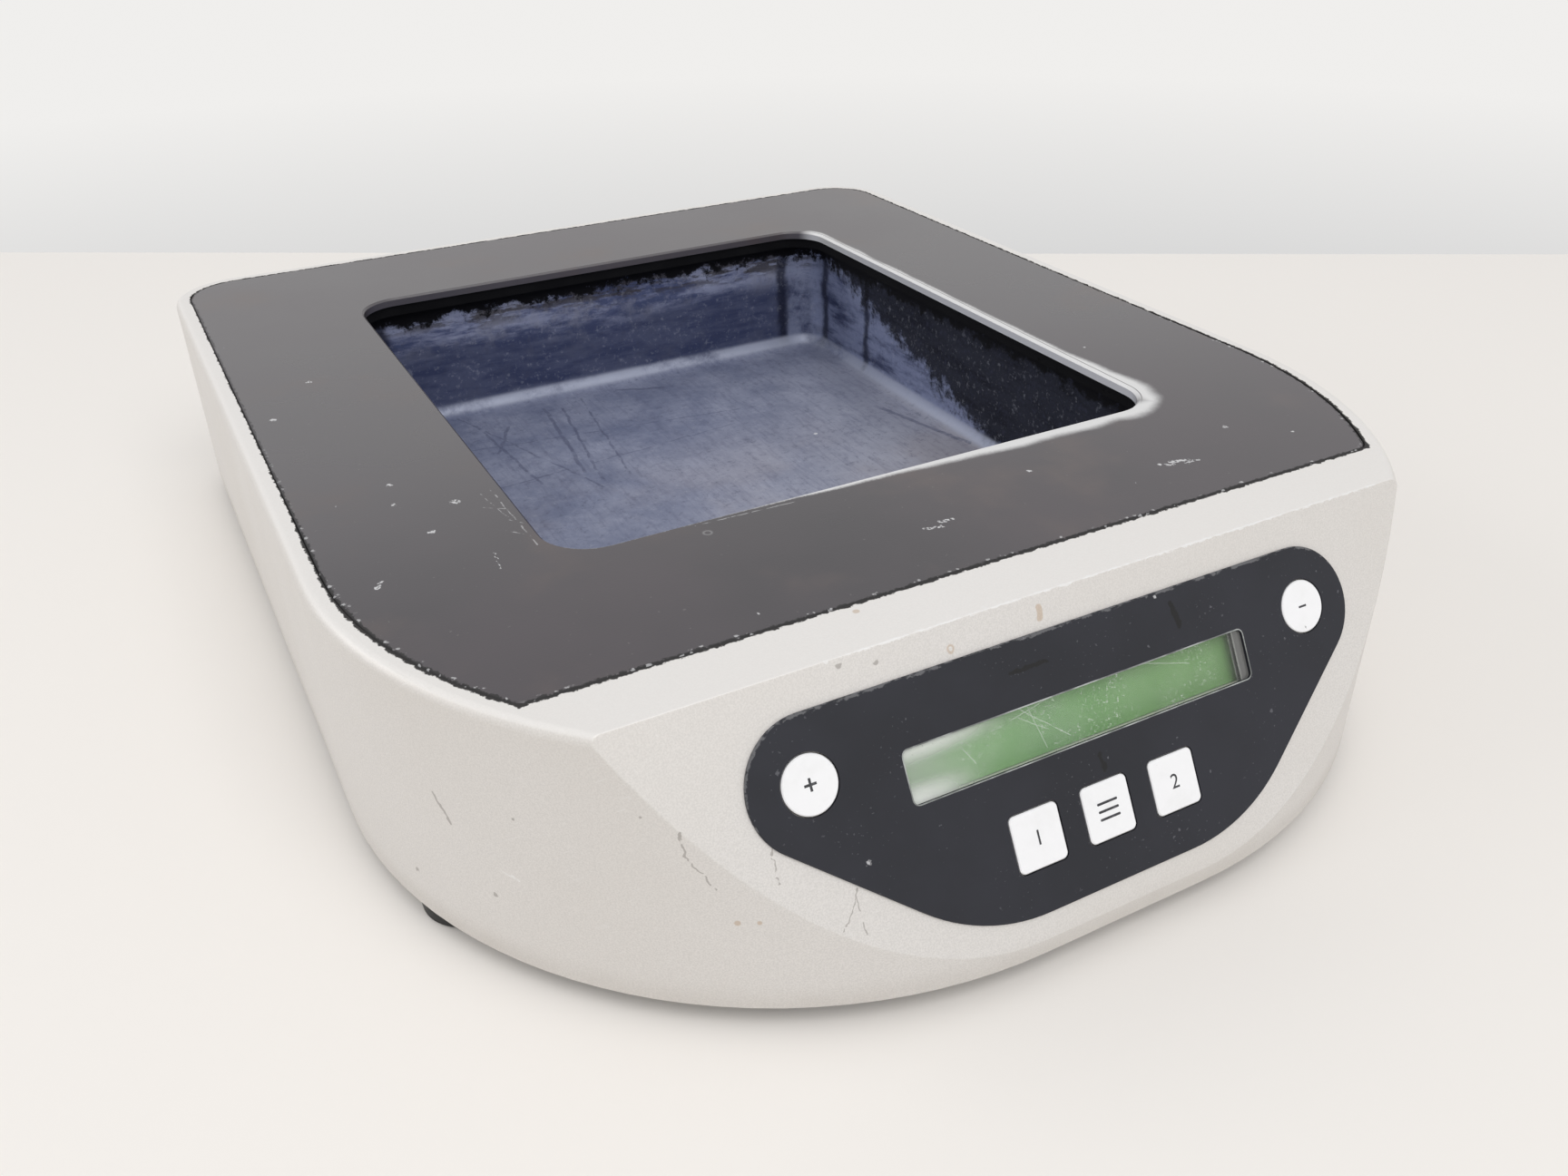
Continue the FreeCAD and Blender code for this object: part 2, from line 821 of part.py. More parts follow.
def overlay_face():
    """The keypad overlay's outline: four circles and the lines that touch them."""
    turn = math.radians(overlay_side_angle)
    end_y = -overlay_top - overlay_end_radius
    low_y = -overlay_bottom + overlay_lower_radius
    drop = end_y - low_y
    slack = overlay_end_radius - overlay_lower_radius - drop * math.cos(turn)
    end_x = overlay_width / 2 - overlay_end_radius
    low_x = end_x + slack / math.sin(turn)
    lean = 90 - overlay_side_angle
    edges = [
        arc(end_x, end_y, overlay_end_radius, -lean, 90),
        arc(-end_x, end_y, overlay_end_radius, 90, 180 + lean),
        arc(-low_x, low_y, overlay_lower_radius, 180 + lean, 270),
        arc(low_x, low_y, overlay_lower_radius, 270, 360 - lean),
    ]
    return closed_face(edges)


def keypad_overlay():
    """Printed overlay, cut out for the window and the keys."""
    sheet = raised(overlay_face(), 0, overlay_thickness)
    sheet = sheet.makeChamfer(overlay_edge_chamfer, edges_at(sheet, overlay_thickness))
    cuts = [rounded_block(
        window_width / 2, window_height / 2, window_radius, -1, 2, window_x, -window_down)]
    for face, _, _ in key_outlines(key_gap).values():
        cuts.append(raised(face, -1, 2))
    return on_face(sheet.cut(cuts))


def key(name):
    """A key cap with the stem that reaches its switch."""
    face, x, y = key_outlines(0)[name]
    top = overlay_thickness + key_proud
    cap = raised(face, top - key_thickness, top)
    cap = cap.makeChamfer(key_edge_chamfer, edges_at(cap, top))
    stem = rod(key_stem_radius, x, y, stem_end(), top - key_thickness / 2)
    return on_face(joined([cap, stem]))


def stem_end():
    """Height where a key's stem meets its switch's actuator."""
    return -control_board_depth + switch_height + actuator_length - actuator_sunk


def actuator(name):
    """The moving plunger of a tactile switch."""
    _, x, y = key_outlines(0)[name]
    return on_face(rod(actuator_radius, x, y, stem_end() - actuator_length, stem_end()))


def tactile_switches():
    """Switch bodies on the control board, each bored for its actuator."""
    bodies = []
    for _, x, y in key_outlines(0).values():
        half = switch_size / 2
        low = -control_board_depth
        body = block(x - half, x + half, y - half, y + half, low, low + switch_height)
        bore = rod(
            actuator_radius + actuator_clearance, x, y,
            stem_end() - actuator_length - key_travel - display_gap, 0)
        bodies.append(on_face(body.cut(bore)))
    return bodies


def display_window():
    """Clear lens in its recess, under the overlay."""
    half_x = window_width / 2 + window_margin
    half_y = window_height / 2 + window_margin
    return on_face(rounded_block(
        half_x, half_y, window_radius + window_margin, -window_thickness, 0,
        window_x, -window_down))


def display_block(width, height, top, depth):
    """A block centred behind the window."""
    return block(
        window_x - width / 2, window_x + width / 2,
        -window_down - height / 2, -window_down + height / 2, top - depth, top)


def bezel_top():
    return -wall - display_gap


def lcd_bezel():
    """Folded metal frame of the display."""
    top = bezel_top()
    frame = display_block(bezel_width, bezel_height, top, bezel_depth)
    hollow = display_block(
        bezel_width - 2 * bezel_sheet, bezel_height - 2 * bezel_sheet, top - bezel_sheet,
        bezel_depth)
    sight = display_block(
        window_width + 2 * sight_margin, window_height + 2 * sight_margin, top + 1, bezel_depth / 2)
    return on_face(frame.cut([hollow, sight]))


def glass_size():
    return window_width + 2 * glass_margin, window_height + 2 * glass_margin


def lcd_glass():
    """The green display cell."""
    width, height = glass_size()
    return on_face(display_block(width, height, bezel_top() - bezel_sheet, glass_thickness))


def lcd_backlight():
    """Light guide between the cell and its board."""
    width, height = glass_size()
    top = bezel_top() - bezel_sheet - glass_thickness
    depth = bezel_depth - bezel_sheet - glass_thickness
    return on_face(display_block(width, height, top, depth))


def display_board_under():
    return bezel_top() - bezel_depth - board_thickness


def display_hole_places():
    x = display_board_width / 2 - display_hole_inset
    y = display_board_height / 2 - display_hole_inset
    return [
        (window_x + way * x, -window_down + along * y) for way in (-1, 1) for along in (-1, 1)]


def lcd_board():
    """The display's own circuit board."""
    board = display_block(
        display_board_width, display_board_height, bezel_top() - bezel_depth, board_thickness)
    holes = [rod(stud_radius, x, y, -OVERSIZE / 2, 0) for x, y in display_hole_places()]
    return on_face(board.cut(holes))


def lcd_spacers():
    """Posts between the display's board and the control board."""
    return [
        on_face(rod(spacer_radius, x, y, -control_board_depth, display_board_under()))
        for x, y in display_hole_places()
    ]


def control_board():
    """Circuit board behind the control face, narrower at its foot."""
    top_x = control_board_top_width / 2
    bottom_x = control_board_bottom_width / 2
    outline = polygon_face([
        V(-top_x, -control_board_top, 0),
        V(top_x, -control_board_top, 0),
        V(top_x, -control_board_top - 2 * control_boss_inset, 0),
        V(bottom_x, -control_board_bottom, 0),
        V(-bottom_x, -control_board_bottom, 0),
        V(-top_x, -control_board_top - 2 * control_boss_inset, 0),
    ])
    under = -control_board_depth - board_thickness
    board = raised(outline, under, -control_board_depth)
    holes = [
        rod(hole_radius, x, -down, under - 1, -control_board_depth + 1)
        for x, down in control_boss_places()
    ]
    return on_face(board.cut(holes))


def control_chips():
    """Connector, processor and driver on the back of the control board."""
    under = -control_board_depth - board_thickness
    middle = -(control_board_top + control_board_bottom) / 2
    chips = []
    left = chip_left
    for width, height in (
            (connector_width, 2 * chip_height), (processor_width, chip_height),
            (driver_width, chip_height)):
        chips.append(on_face(block(
            left, left + width, middle - chip_depth / 2, middle + chip_depth / 2,
            under - height, under)))
        left += width + chip_gap
    return chips


def board_screws():
    """Screws from behind the control board into the face's bosses."""
    screws = []
    seat = -control_board_depth - board_thickness
    for x, down in control_boss_places():
        tip = -wall - pilot_floor - stud_below_nut
        screws.append(on_face(pan_screw(x, -down, seat, tip)))
    return screws


def power_board_box():
    """Left, right, front and back of the power board."""
    back = back_y - wall - power_board_from_back
    left = power_board_from_side - half_width
    return left, left + power_board_width, back - power_board_depth, back


def power_board_top():
    return base_top_z + power_board_lift + board_thickness


def power_board_holes():
    left, right, front, back = power_board_box()
    inset = display_hole_inset + spacer_radius / 2
    return [(x, y) for x in (left + inset, right - inset) for y in (front + inset, back - inset)]


def power_board():
    """Circuit board that switches the heater."""
    left, right, front, back = power_board_box()
    board = block(left, right, front, back, power_board_top() - board_thickness, power_board_top())
    holes = [rod(stud_radius, x, y, 0, top_z) for x, y in power_board_holes()]
    return board.cut(holes)


def power_board_spacers():
    low = base_top_z
    return [
        rod(spacer_radius, x, y, low, low + power_board_lift) for x, y in power_board_holes()
    ]


def transformer_centre():
    left, _, front, back = power_board_box()
    return left + transformer_from_end + transformer_width / 2, (front + back) / 2


def transformer_core():
    """Stack of laminations with a leg through the coil."""
    x, y = transformer_centre()
    half_x = transformer_width / 2
    half_y = transformer_depth / 4
    z0 = power_board_top()
    z1 = z0 + transformer_height
    core = block(x - half_x, x + half_x, y - half_y, y + half_y, z0, z1)
    windows = []
    for way in (-1, 1):
        inner = transformer_leg
        outer = half_x - transformer_leg
        low_x = min(way * inner, way * outer)
        high_x = max(way * inner, way * outer)
        windows.append(block(
            x + low_x, x + high_x, y - half_y - 1, y + half_y + 1,
            z0 + transformer_leg, z1 - transformer_leg))
    return core.cut(windows)


def transformer_coil():
    """Wound bobbin round the middle leg."""
    x, y = transformer_centre()
    half_x = transformer_width / 2 - transformer_leg - coil_clearance
    z0 = power_board_top() + transformer_leg + coil_clearance
    z1 = power_board_top() + transformer_height - transformer_leg - coil_clearance
    coil = rounded_block(half_x, transformer_depth / 2, transformer_leg / 2, z0, z1, x, y)
    leg_x = transformer_leg + thread_clearance
    leg_y = transformer_depth / 4 + thread_clearance
    return coil.cut(block(x - leg_x, x + leg_x, y - leg_y, y + leg_y, z0 - 1, z1 + 1))


def heatsink_front():
    """Left end and front face of the heatsink."""
    _, right, _, back = power_board_box()
    left = right - heatsink_width - 2 * terminal_pitch
    return left, back - heatsink_depth - heatsink_base


def heatsink():
    """Finned aluminium block for the triac, its fins to the back."""
    left, front = heatsink_front()
    z0 = power_board_top()
    z1 = z0 + heatsink_height
    solids = [block(left, left + heatsink_width, front, front + heatsink_base, z0, z1)]
    pitch = (heatsink_width - fin_thickness) / (fin_count - 1)
    for step in range(fin_count):
        x = left + step * pitch
        solids.append(block(x, x + fin_thickness, front, front + heatsink_depth, z0, z1))
    return joined(solids)


def triac():
    """Power switch bolted flat against the heatsink."""
    left, front = heatsink_front()
    x = left + heatsink_width / 2
    half = triac_width / 2
    z0 = power_board_top() + triac_lift
    body = block(x - half, x + half, front - triac_depth, front, z0, z0 + triac_height)
    tab = block(x - half, x + half, front - tab_thickness, front, z0, z0 + tab_height)
    hole_z = z0 + (triac_height + tab_height) / 2
    tab = tab.cut(rod_back(tab_hole_radius, x, hole_z, front - triac_depth, front + 1))
    legs = []
    for way in (-1, 0, 1):
        leg_x = x + way * lead_pitch
        leg_y = front - triac_depth / 2
        legs.append(block(
            leg_x - lead_width / 2, leg_x + lead_width / 2, leg_y - lead_thickness, leg_y,
            power_board_top(), z0 + 1))
    return joined([body, tab] + legs)


def terminal_block():
    """Screw terminals for the mains, heater and cut-out leads."""
    _, _, front, _ = power_board_box()
    width = terminal_pitch * terminal_count
    x0 = transformer_centre()[0] + transformer_width / 2 + part_spacing
    z0 = power_board_top()
    z1 = z0 + terminal_height
    middle = front + 1 + terminal_depth / 2
    body = block(
        x0, x0 + width, middle - terminal_depth / 2, middle + terminal_depth / 2, z0, z1)
    cuts = []
    for step in range(terminal_count):
        x = x0 + terminal_pitch * (step + 0.5)
        cuts.append(rod(terminal_screw_radius, x, middle, (z0 + z1) / 2 + 1, z1 + 1))
        cuts.append(rod_back(terminal_mouth_radius, x, z0 + terminal_height / 3, front, middle))
    return body.cut(cuts)


def entry_centre_z():
    return skirt_z + entry_up


def entry_face():
    """Outer face of the mains entry module."""
    return back_y + entry_flange_thickness


def socket_solid(grow, y0, y1):
    """The plug's space: a block with two corners cut off."""
    half_x = socket_width / 2 + grow
    half_z = socket_height / 2 + grow
    z = entry_centre_z()
    outline = polygon_face([
        V(entry_x - half_x, y0, z - half_z),
        V(entry_x + half_x, y0, z - half_z),
        V(entry_x + half_x, y0, z + half_z - socket_chamfer),
        V(entry_x + half_x - socket_chamfer, y0, z + half_z),
        V(entry_x - half_x + socket_chamfer, y0, z + half_z),
        V(entry_x - half_x, y0, z + half_z - socket_chamfer),
    ])
    return outline.extrude(V(0, y1 - y0, 0))


def entry_pins():
    """Three flat contacts, with tabs behind for the leads."""
    floor = entry_face() - socket_depth
    z = entry_centre_z()
    pins = []
    for x, lift in (
            (-pin_spacing / 2, -pin_stagger), (0, pin_stagger), (pin_spacing / 2, -pin_stagger)):
        pins.append(block(
            entry_x + x - pin_width / 2, entry_x + x + pin_width / 2,
            entry_face() - entry_body_depth - pin_tail, floor + pin_reach,
            z + lift - pin_height / 2, z + lift + pin_height / 2))
    return pins


def rocker_place():
    """The rocker's pivot: x, y and z."""
    return entry_x - rocker_from_socket, entry_face() - rocker_pivot_depth, entry_centre_z()


def rocker_axle(radius, reach):
    x, y, z = rocker_place()
    half = rocker_width / 2 + reach
    return Part.makeCylinder(radius, 2 * half, V(x - half, y, z), V(1, 0, 0))


def power_inlet():
    """Moulded body of the mains entry: socket, switch well and fuse bay."""
    z = entry_centre_z()
    face = entry_face()
    flange = rounded_block(
        entry_flange_width / 2, entry_flange_height / 2, entry_flange_radius,
        0, entry_flange_thickness)
    flange.rotate(V(0, 0, 0), V(1, 0, 0), -90)
    flange.translate(V(entry_x, back_y, z))
    half_x = entry_body_width / 2 - base_gap
    half_z = entry_body_height / 2 - base_gap
    body = block(
        entry_x - half_x, entry_x + half_x, face - entry_body_depth, face - 1,
        z - half_z, z + half_z)
    solid = joined([flange, body])
    cuts = [socket_solid(0, face - socket_depth, face + 1)]
    pivot_x, pivot_y, _ = rocker_place()
    well_x = rocker_width / 2 + rocker_side_gap
    well_z = rocker_reach + rocker_side_gap
    well_depth = rocker_reach * math.sin(math.radians(rocker_tilt)) + rocker_belly + 1
    cuts.append(block(
        pivot_x - well_x, pivot_x + well_x, pivot_y - well_depth, face + 1,
        z - well_z, z + well_z))
    cuts.append(rocker_axle(
        rocker_axle_radius + thread_clearance,
        rocker_side_gap + rocker_axle_length + base_gap))
    bay_x = drawer_width / 2 + drawer_gap
    bay_z = drawer_height / 2 + drawer_gap
    drawer_x = entry_x + drawer_from_socket
    cuts.append(block(
        drawer_x - bay_x, drawer_x + bay_x, face - drawer_depth - 2 * drawer_gap, face + 1,
        z - bay_z, z + bay_z))
    for way in (-1, 1):
        x = entry_x + way * entry_screw_spacing / 2
        cuts.append(rod_back(hole_radius, x, z, back_y - 1, face + 1))
    return solid.cut(cuts + entry_pins())


def rocker_profile():
    """Side view of the rocker, level, round its pivot, as a face in the YZ plane."""
    end_turn = math.degrees(math.atan2(rocker_crown, rocker_half_length))
    low_turn = math.degrees(math.asin(rocker_belly / rocker_reach))
    edges = [
        arc(0, 0, rocker_reach, -low_turn, end_turn),
        arc(0, rocker_dip + 2 * rocker_reach, 2 * rocker_reach,
            270 + rocker_dip_spread, 270 - rocker_dip_spread),
        arc(0, 0, rocker_reach, 180 - end_turn, 180 + low_turn),
    ]
    return closed_face(edges)


def mains_rocker():
    """Rocker with its axle, one end pressed in."""
    x, y, z = rocker_place()
    solid = rocker_profile().extrude(V(0, 0, rocker_width))
    solid.translate(V(0, 0, -rocker_width / 2))
    solid.rotate(V(0, 0, 0), V(0, 0, 1), rocker_tilt)
    solid.rotate(V(0, 0, 0), V(0, 1, 0), -90)
    solid.translate(V(x, y, z))
    return joined([solid, rocker_axle(rocker_axle_radius, rocker_side_gap + rocker_axle_length)])


def fuse_places():
    """Centres of the fuses: x, and distance behind the module's face."""
    x = entry_x + drawer_from_socket + fuse_radius / 2
    first = 2 * fuse_radius + fuse_wall
    return [(x, first), (x, first + 2 * fuse_radius + 2 * fuse_wall)]


def upright_fuse(x, y, radius, length):
    z = entry_centre_z()
    return rod(radius, x, y, z - length / 2, z + length / 2)


def fuse_drawer():
    """Drawer with two troughs for the fuses and a finger notch."""
    z = entry_centre_z()
    face = entry_face()
    x = entry_x + drawer_from_socket
    half_x = drawer_width / 2
    half_z = drawer_height / 2
    over = drawer_face_overlap + drawer_gap
    tray = block(x - half_x, x + half_x, face - drawer_depth, face + 1, z - half_z, z + half_z)
    front = block(
        x - half_x - over, x + half_x + over, face + drawer_gap,
        face + drawer_gap + drawer_face_thickness, z - half_z - over, z + half_z + over)
    drawer = joined([tray, front])
    cuts = []
    for fuse_x, behind in fuse_places():
        y = face - behind
        radius = fuse_radius + fuse_gap
        length = fuse_length + 2 * fuse_gap
        cuts.append(upright_fuse(fuse_x, y, radius, length))
        cuts.append(block(
            fuse_x, x + half_x + 0.01, y - radius, y + radius, z - length / 2, z + length / 2))
    notch_z = z + half_z + over
    cuts.append(block(
        x - half_x / 2, x + half_x / 2, face + drawer_gap - 1, face + drawer_gap + 1,
        notch_z - notch_depth, notch_z + 1))
    return drawer.cut(cuts)


def fuses():
    """Glass fuses with metal end caps."""
    pieces = []
    for x, behind in fuse_places():
        y = entry_face() - behind
        tube = upright_fuse(x, y, fuse_glass_radius, fuse_length - fuse_cap_length)
        caps = []
        for way in (-1, 1):
            z = entry_centre_z() + way * (fuse_length - fuse_cap_length) / 2
            half = fuse_cap_length / 2
            caps.append(rod(fuse_radius, x, y, z - half, z + half))
        pieces.append(joined([tube] + caps))
    return pieces


def entry_screws():
    """Screws through the module's flange and the back wall."""
    screws = []
    for way in (-1, 1):
        x = entry_x + way * entry_screw_spacing / 2
        tip = entry_flange_thickness + wall + nut_height + stud_below_nut / 2
        screw = pan_screw(0, 0, 0, tip)
        screw.rotate(V(0, 0, 0), V(1, 0, 0), 90)
        screw.translate(V(x, entry_face(), entry_centre_z()))
        screws.append(screw)
    return screws


def entry_nuts():
    nuts = []
    for way in (-1, 1):
        x = entry_x + way * entry_screw_spacing / 2
        piece = nut(0, 0, 0)
        piece.rotate(V(0, 0, 0), V(1, 0, 0), 90)
        piece.translate(V(x, back_y - wall, entry_centre_z()))
        nuts.append(piece)
    return nuts


def pieces():
    """Every node by name, as a solid or a list of solids."""
    found = {}
    for make in (
            housing, top_plate, weld_studs, plate_clamps, plate_nuts,
            basin, basin_seal, basin_nuts,
            heating_mat, sensor_block, temperature_sensor, overheat_cutout, insulation_tray,
            base_plate, base_screws, foot_screws, foot_nuts,
            keypad_overlay, display_window, lcd_bezel, lcd_glass, lcd_backlight,
            lcd_board, lcd_spacers, control_board, control_chips, board_screws,
            tactile_switches, power_board, power_board_spacers, transformer_core,
            transformer_coil, heatsink, triac, terminal_block,
            power_inlet, mains_rocker, fuse_drawer, fuses, entry_screws, entry_nuts):
        found[make.__name__] = make()
    found["inlet_pins"] = entry_pins()
    for name, (x, y) in foot_places().items():
        found[name] = foot(x, y)
    for name in key_outlines(0):
        found[name + "_key"] = key(name)
        found[name + "_actuator"] = actuator(name)
    return found


os.makedirs("parts", exist_ok=True)
for node, made in pieces().items():
    shape = Part.makeCompound(made) if isinstance(made, list) else made
    shape.exportStep("parts/" + node + ".step")
    solids = shape.Solids
    print(node, len(solids), round(shape.Volume / 1000, 2), "cm3", shape.isValid())
for title, value in (
        ("crease", crease_y), ("front", front_y), ("back", back_y), ("opening", opening_y),
        ("plate front", plate_front_y), ("top", top_z), ("module face", entry_face()),
        ("module centre height", entry_centre_z())):
    print(title, round(value, 3))
print("rocker pivot", [round(value, 3) for value in rocker_place()])
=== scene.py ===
# %% [markdown]
# # A slim laboratory water bath
# A bath like this one warms a few centimetres of water, so that thin tissue sections float flat
# before they are lifted onto glass slides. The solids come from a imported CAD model, and they
# stay as they are. This script gives them their finishes, prints the marks on the keys, and
# sets up the bench, the light and the camera.

import bmesh
import bpy
import json
import math
from mathutils import Matrix, Vector


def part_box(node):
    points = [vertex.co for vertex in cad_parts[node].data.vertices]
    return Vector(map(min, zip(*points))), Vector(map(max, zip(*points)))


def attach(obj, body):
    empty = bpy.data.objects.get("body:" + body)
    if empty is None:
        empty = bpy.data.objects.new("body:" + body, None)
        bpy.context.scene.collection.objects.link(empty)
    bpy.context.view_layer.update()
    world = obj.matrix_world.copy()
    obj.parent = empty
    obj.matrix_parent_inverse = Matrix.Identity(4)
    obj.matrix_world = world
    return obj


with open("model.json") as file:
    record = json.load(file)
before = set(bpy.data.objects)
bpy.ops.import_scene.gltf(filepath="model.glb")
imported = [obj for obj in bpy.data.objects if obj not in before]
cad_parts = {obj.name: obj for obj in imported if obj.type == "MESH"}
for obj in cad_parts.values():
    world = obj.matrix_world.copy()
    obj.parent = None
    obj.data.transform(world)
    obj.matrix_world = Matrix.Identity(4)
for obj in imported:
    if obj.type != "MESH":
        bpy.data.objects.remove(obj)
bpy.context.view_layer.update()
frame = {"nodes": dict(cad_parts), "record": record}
nodes = frame["nodes"]

# %% [markdown]
# ## Places that the finishes need
# Everything is in metres, in the frame of the CAD model. Most places are measured on the
# nodes. Slopes, radii and gaps can't be read from a box, so they are written here. The lists
# of single marks further down are in millimetres, and so are the two levels they lie on.

# %% Measure the solids
MM = 0.001
FACE_ANGLE = math.radians(60.4)
PLATE_FROM_CREASE = 17.1 * MM
PLATE_GAP = 0.3 * MM
RIM_WIDTH = 5.3 * MM
SEAL_WIDTH = 12.0 * MM
BASIN_SHEET = 2.0 * MM
OPENING_RADIUS = 14.0 * MM
FRONT_RADIUS = 125.9 * MM
BACK_RADIUS = 18.4 * MM

housing_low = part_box("housing")[0]
plate_low, plate_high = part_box("top_plate")
seal_low, seal_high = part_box("basin_seal")
basin_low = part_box("basin")[0]
top = plate_high.z
plate_level = top / MM
floor_level = (basin_low.z + BASIN_SHEET) / MM
crease_y = plate_low.y - PLATE_GAP - PLATE_FROM_CREASE
opening_centre = (seal_low + seal_high) / 2
opening_half = (seal_high - seal_low) / 2 - Vector((SEAL_WIDTH, SEAL_WIDTH, 0))
plate_half_x = (plate_high.x - plate_low.x) / 2
inset = RIM_WIDTH + PLATE_GAP
plate_half_y = (plate_high.y - housing_low.y - inset) / 2
plate_centre_y = plate_high.y - plate_half_y
print("crease at y", round(crease_y, 5), "opening", [round(v * 2, 4) for v in opening_half.xy])

# %% [markdown]
# ## New objects
# A new piece is modelled as a bmesh, already in its place, and then becomes an object at the
# origin. Lamps and the camera are linked into the scene in the same way.

# %% Putting an object into the scene
def new_object(name, data):
    """A new object in the scene, at the origin."""
    made = bpy.data.objects.new(name, data)
    bpy.context.scene.collection.objects.link(made)
    return made


def object_from(name, shape):
    """A bmesh as an object."""
    mesh = bpy.data.meshes.new(name)
    shape.to_mesh(mesh)
    shape.free()
    return new_object(name, mesh)


print("object helpers ready")

# %% [markdown]
# ## A few words for building shader trees
# Shader trees are easier to read when each step is one short call. `add` makes a node and
# fills its sockets, either with a value or with a wire from another node. The helpers below
# it name the steps that come back all the time: a sum, a soft threshold, a mix of colours.

# %% Helpers for shader trees
def fill(tree, node, values):
    """Fills sockets, by name or number, with a value or with a wire from another node."""
    for socket, value in values.items():
        if isinstance(value, bpy.types.NodeSocket):
            tree.links.new(value, node.inputs[socket])
        else:
            node.inputs[socket].default_value = value


def add(tree, kind, inputs=None, **settings):
    """A node with its settings and its filled sockets."""
    node = tree.nodes.new("ShaderNode" + kind)
    for name, setting in settings.items():
        setattr(node, name, setting)
    fill(tree, node, inputs or {})
    return node


def calculate(tree, operation, *values):
    """One step of arithmetic."""
    return add(tree, "Math", dict(enumerate(values)), operation=operation).outputs[0]


def vector_step(tree, operation, *values):
    """One step of vector arithmetic, giving a vector."""
    return add(tree, "VectorMath", dict(enumerate(values)), operation=operation).outputs[0]


def vector_number(tree, operation, *values):
    """One step of vector arithmetic, giving a number."""
    return add(tree, "VectorMath", dict(enumerate(values)), operation=operation).outputs[1]


def scaled(tree, vector, factor):
    """A vector made longer or shorter."""
    step = add(tree, "VectorMath", {0: vector, "Scale": factor}, operation="SCALE")
    return step.outputs[0]


def threshold(tree, value, low, high):
    """0 at low, 1 at high, and a soft step between them. Low may be the larger one."""
    step = add(
        tree, "MapRange", {"Value": value, "From Min": low, "From Max": high},
        interpolation_type="SMOOTHSTEP")
    return step.outputs["Result"]


def blend(tree, mask, under, over, share=1.0):
    """One colour laid over another where the mask is 1, or only a share of it."""
    if share < 1.0:
        mask = calculate(tree, "MULTIPLY", mask, share)
    mix = add(tree, "Mix", {0: mask, 6: under, 7: over}, data_type="RGBA")
    return mix.outputs[2]


def between(tree, mask, low, high):
    """A number that goes from low to high with the mask."""
    return add(tree, "Mix", {0: mask, 2: low, 3: high}, data_type="FLOAT").outputs[0]


def chained(tree, operation, values):
    """The same step over a row of values, from the first to the last."""
    result = values[0]
    for value in values[1:]:
        result = calculate(tree, operation, result, value)
    return result


def product(tree, *masks):
    """Several masks multiplied."""
    return chained(tree, "MULTIPLY", masks)


def highest(tree, *masks):
    """The highest of several masks."""
    return chained(tree, "MAXIMUM", masks)


def total(tree, *values):
    """Several values added."""
    return chained(tree, "ADD", values)


def less(tree, value, taken):
    """A value with another one taken from it."""
    return calculate(tree, "SUBTRACT", value, taken)


def without(tree, mask, share=1.0):
    """What a mask leaves over, or what a share of it leaves over."""
    return less(tree, 1.0, product(tree, mask, share))


def split(tree, vector):
    """The three coordinates of a vector."""
    return add(tree, "SeparateXYZ", {"Vector": vector}).outputs


def normal(tree):
    """The direction that a surface faces."""
    return add(tree, "NewGeometry").outputs["Normal"]


def cloud(tree, vector, scale, detail=3.0, roughness=0.55):
    """Fractal noise from 0 to 1."""
    noise = add(
        tree, "TexNoise",
        {"Vector": vector, "Scale": scale, "Detail": detail, "Roughness": roughness})
    return noise.outputs[0]


def rgb(red, green, blue):
    """A colour as the sockets want it."""
    return (red, green, blue, 1.0)


print("helpers ready")

# %% [markdown]
# ## Camera
# The lens and the place were worked out from straight edges in the photograph: the sides of
# the plate and the opening, the crease and the window. A camera's matrix has its right, up and
# backward directions as columns, so the three measured directions go straight in. The
# Standard view shows a colour about as it is written.

# %% Place the camera
CAMERA_FROM_PLATE = Vector((-0.179159, -0.221111, 0.160495))
right = Vector((0.879947, -0.474814, -0.015631))
up = Vector((0.257032, 0.448156, 0.856207))
camera_data = bpy.data.cameras.new("camera")
camera_data.lens = 30.164
camera_data.sensor_width = 36.0
camera = new_object("camera", camera_data)
axes = Matrix((right, up, right.cross(up))).transposed().to_4x4()
axes.translation = Vector((0.0, crease_y + PLATE_FROM_CREASE, top)) + CAMERA_FROM_PLATE
camera.matrix_world = axes
bpy.context.scene.camera = camera
bpy.context.scene.view_settings.view_transform = "Standard"
print("camera at", [round(v, 4) for v in camera.location])

# %% [markdown]
# ## Bench, backdrop and light
# The photograph shows a pale bench with a pale wall behind it. The bench is a sheet whose back
# edge lies where the bench ends, and the backdrop beyond is the colour of the world. Light
# Path lets the world look pale to the camera and in reflections, while it lights the object
# at its own plain level. The wall is a little darker just above the bench and paler higher up
# and far below. Two wide lamps add a soft direction to the light.

# %% Bench with its back edge at two measured places
BENCH_HALF = 2.0
edge_left = Vector((-0.229, 0.5962, 0.0))
edge_right = Vector((0.590, 0.0932, 0.0))
heading = edge_right - edge_left
turn = Matrix.Rotation(math.atan2(heading.y, heading.x), 4, "Z")
sheet = bmesh.new()
bmesh.ops.create_grid(sheet, x_segments=1, y_segments=1, size=BENCH_HALF)
bmesh.ops.translate(sheet, verts=sheet.verts, vec=(0.0, -BENCH_HALF, 0.0))
sheet.transform(Matrix.Translation((edge_left + edge_right) / 2) @ turn)
bench = object_from("bench", sheet)
bench_paint = bpy.data.materials.new("bench_paint")
bench_paint.use_nodes = True
bench_shader = bench_paint.node_tree.nodes["Principled BSDF"]
bench_shader.inputs["Base Color"].default_value = rgb(0.88, 0.845, 0.805)
bench_shader.inputs["Roughness"].default_value = 0.6
bench.data.materials.append(bench_paint)
print("bench corners", len(bench.data.vertices))

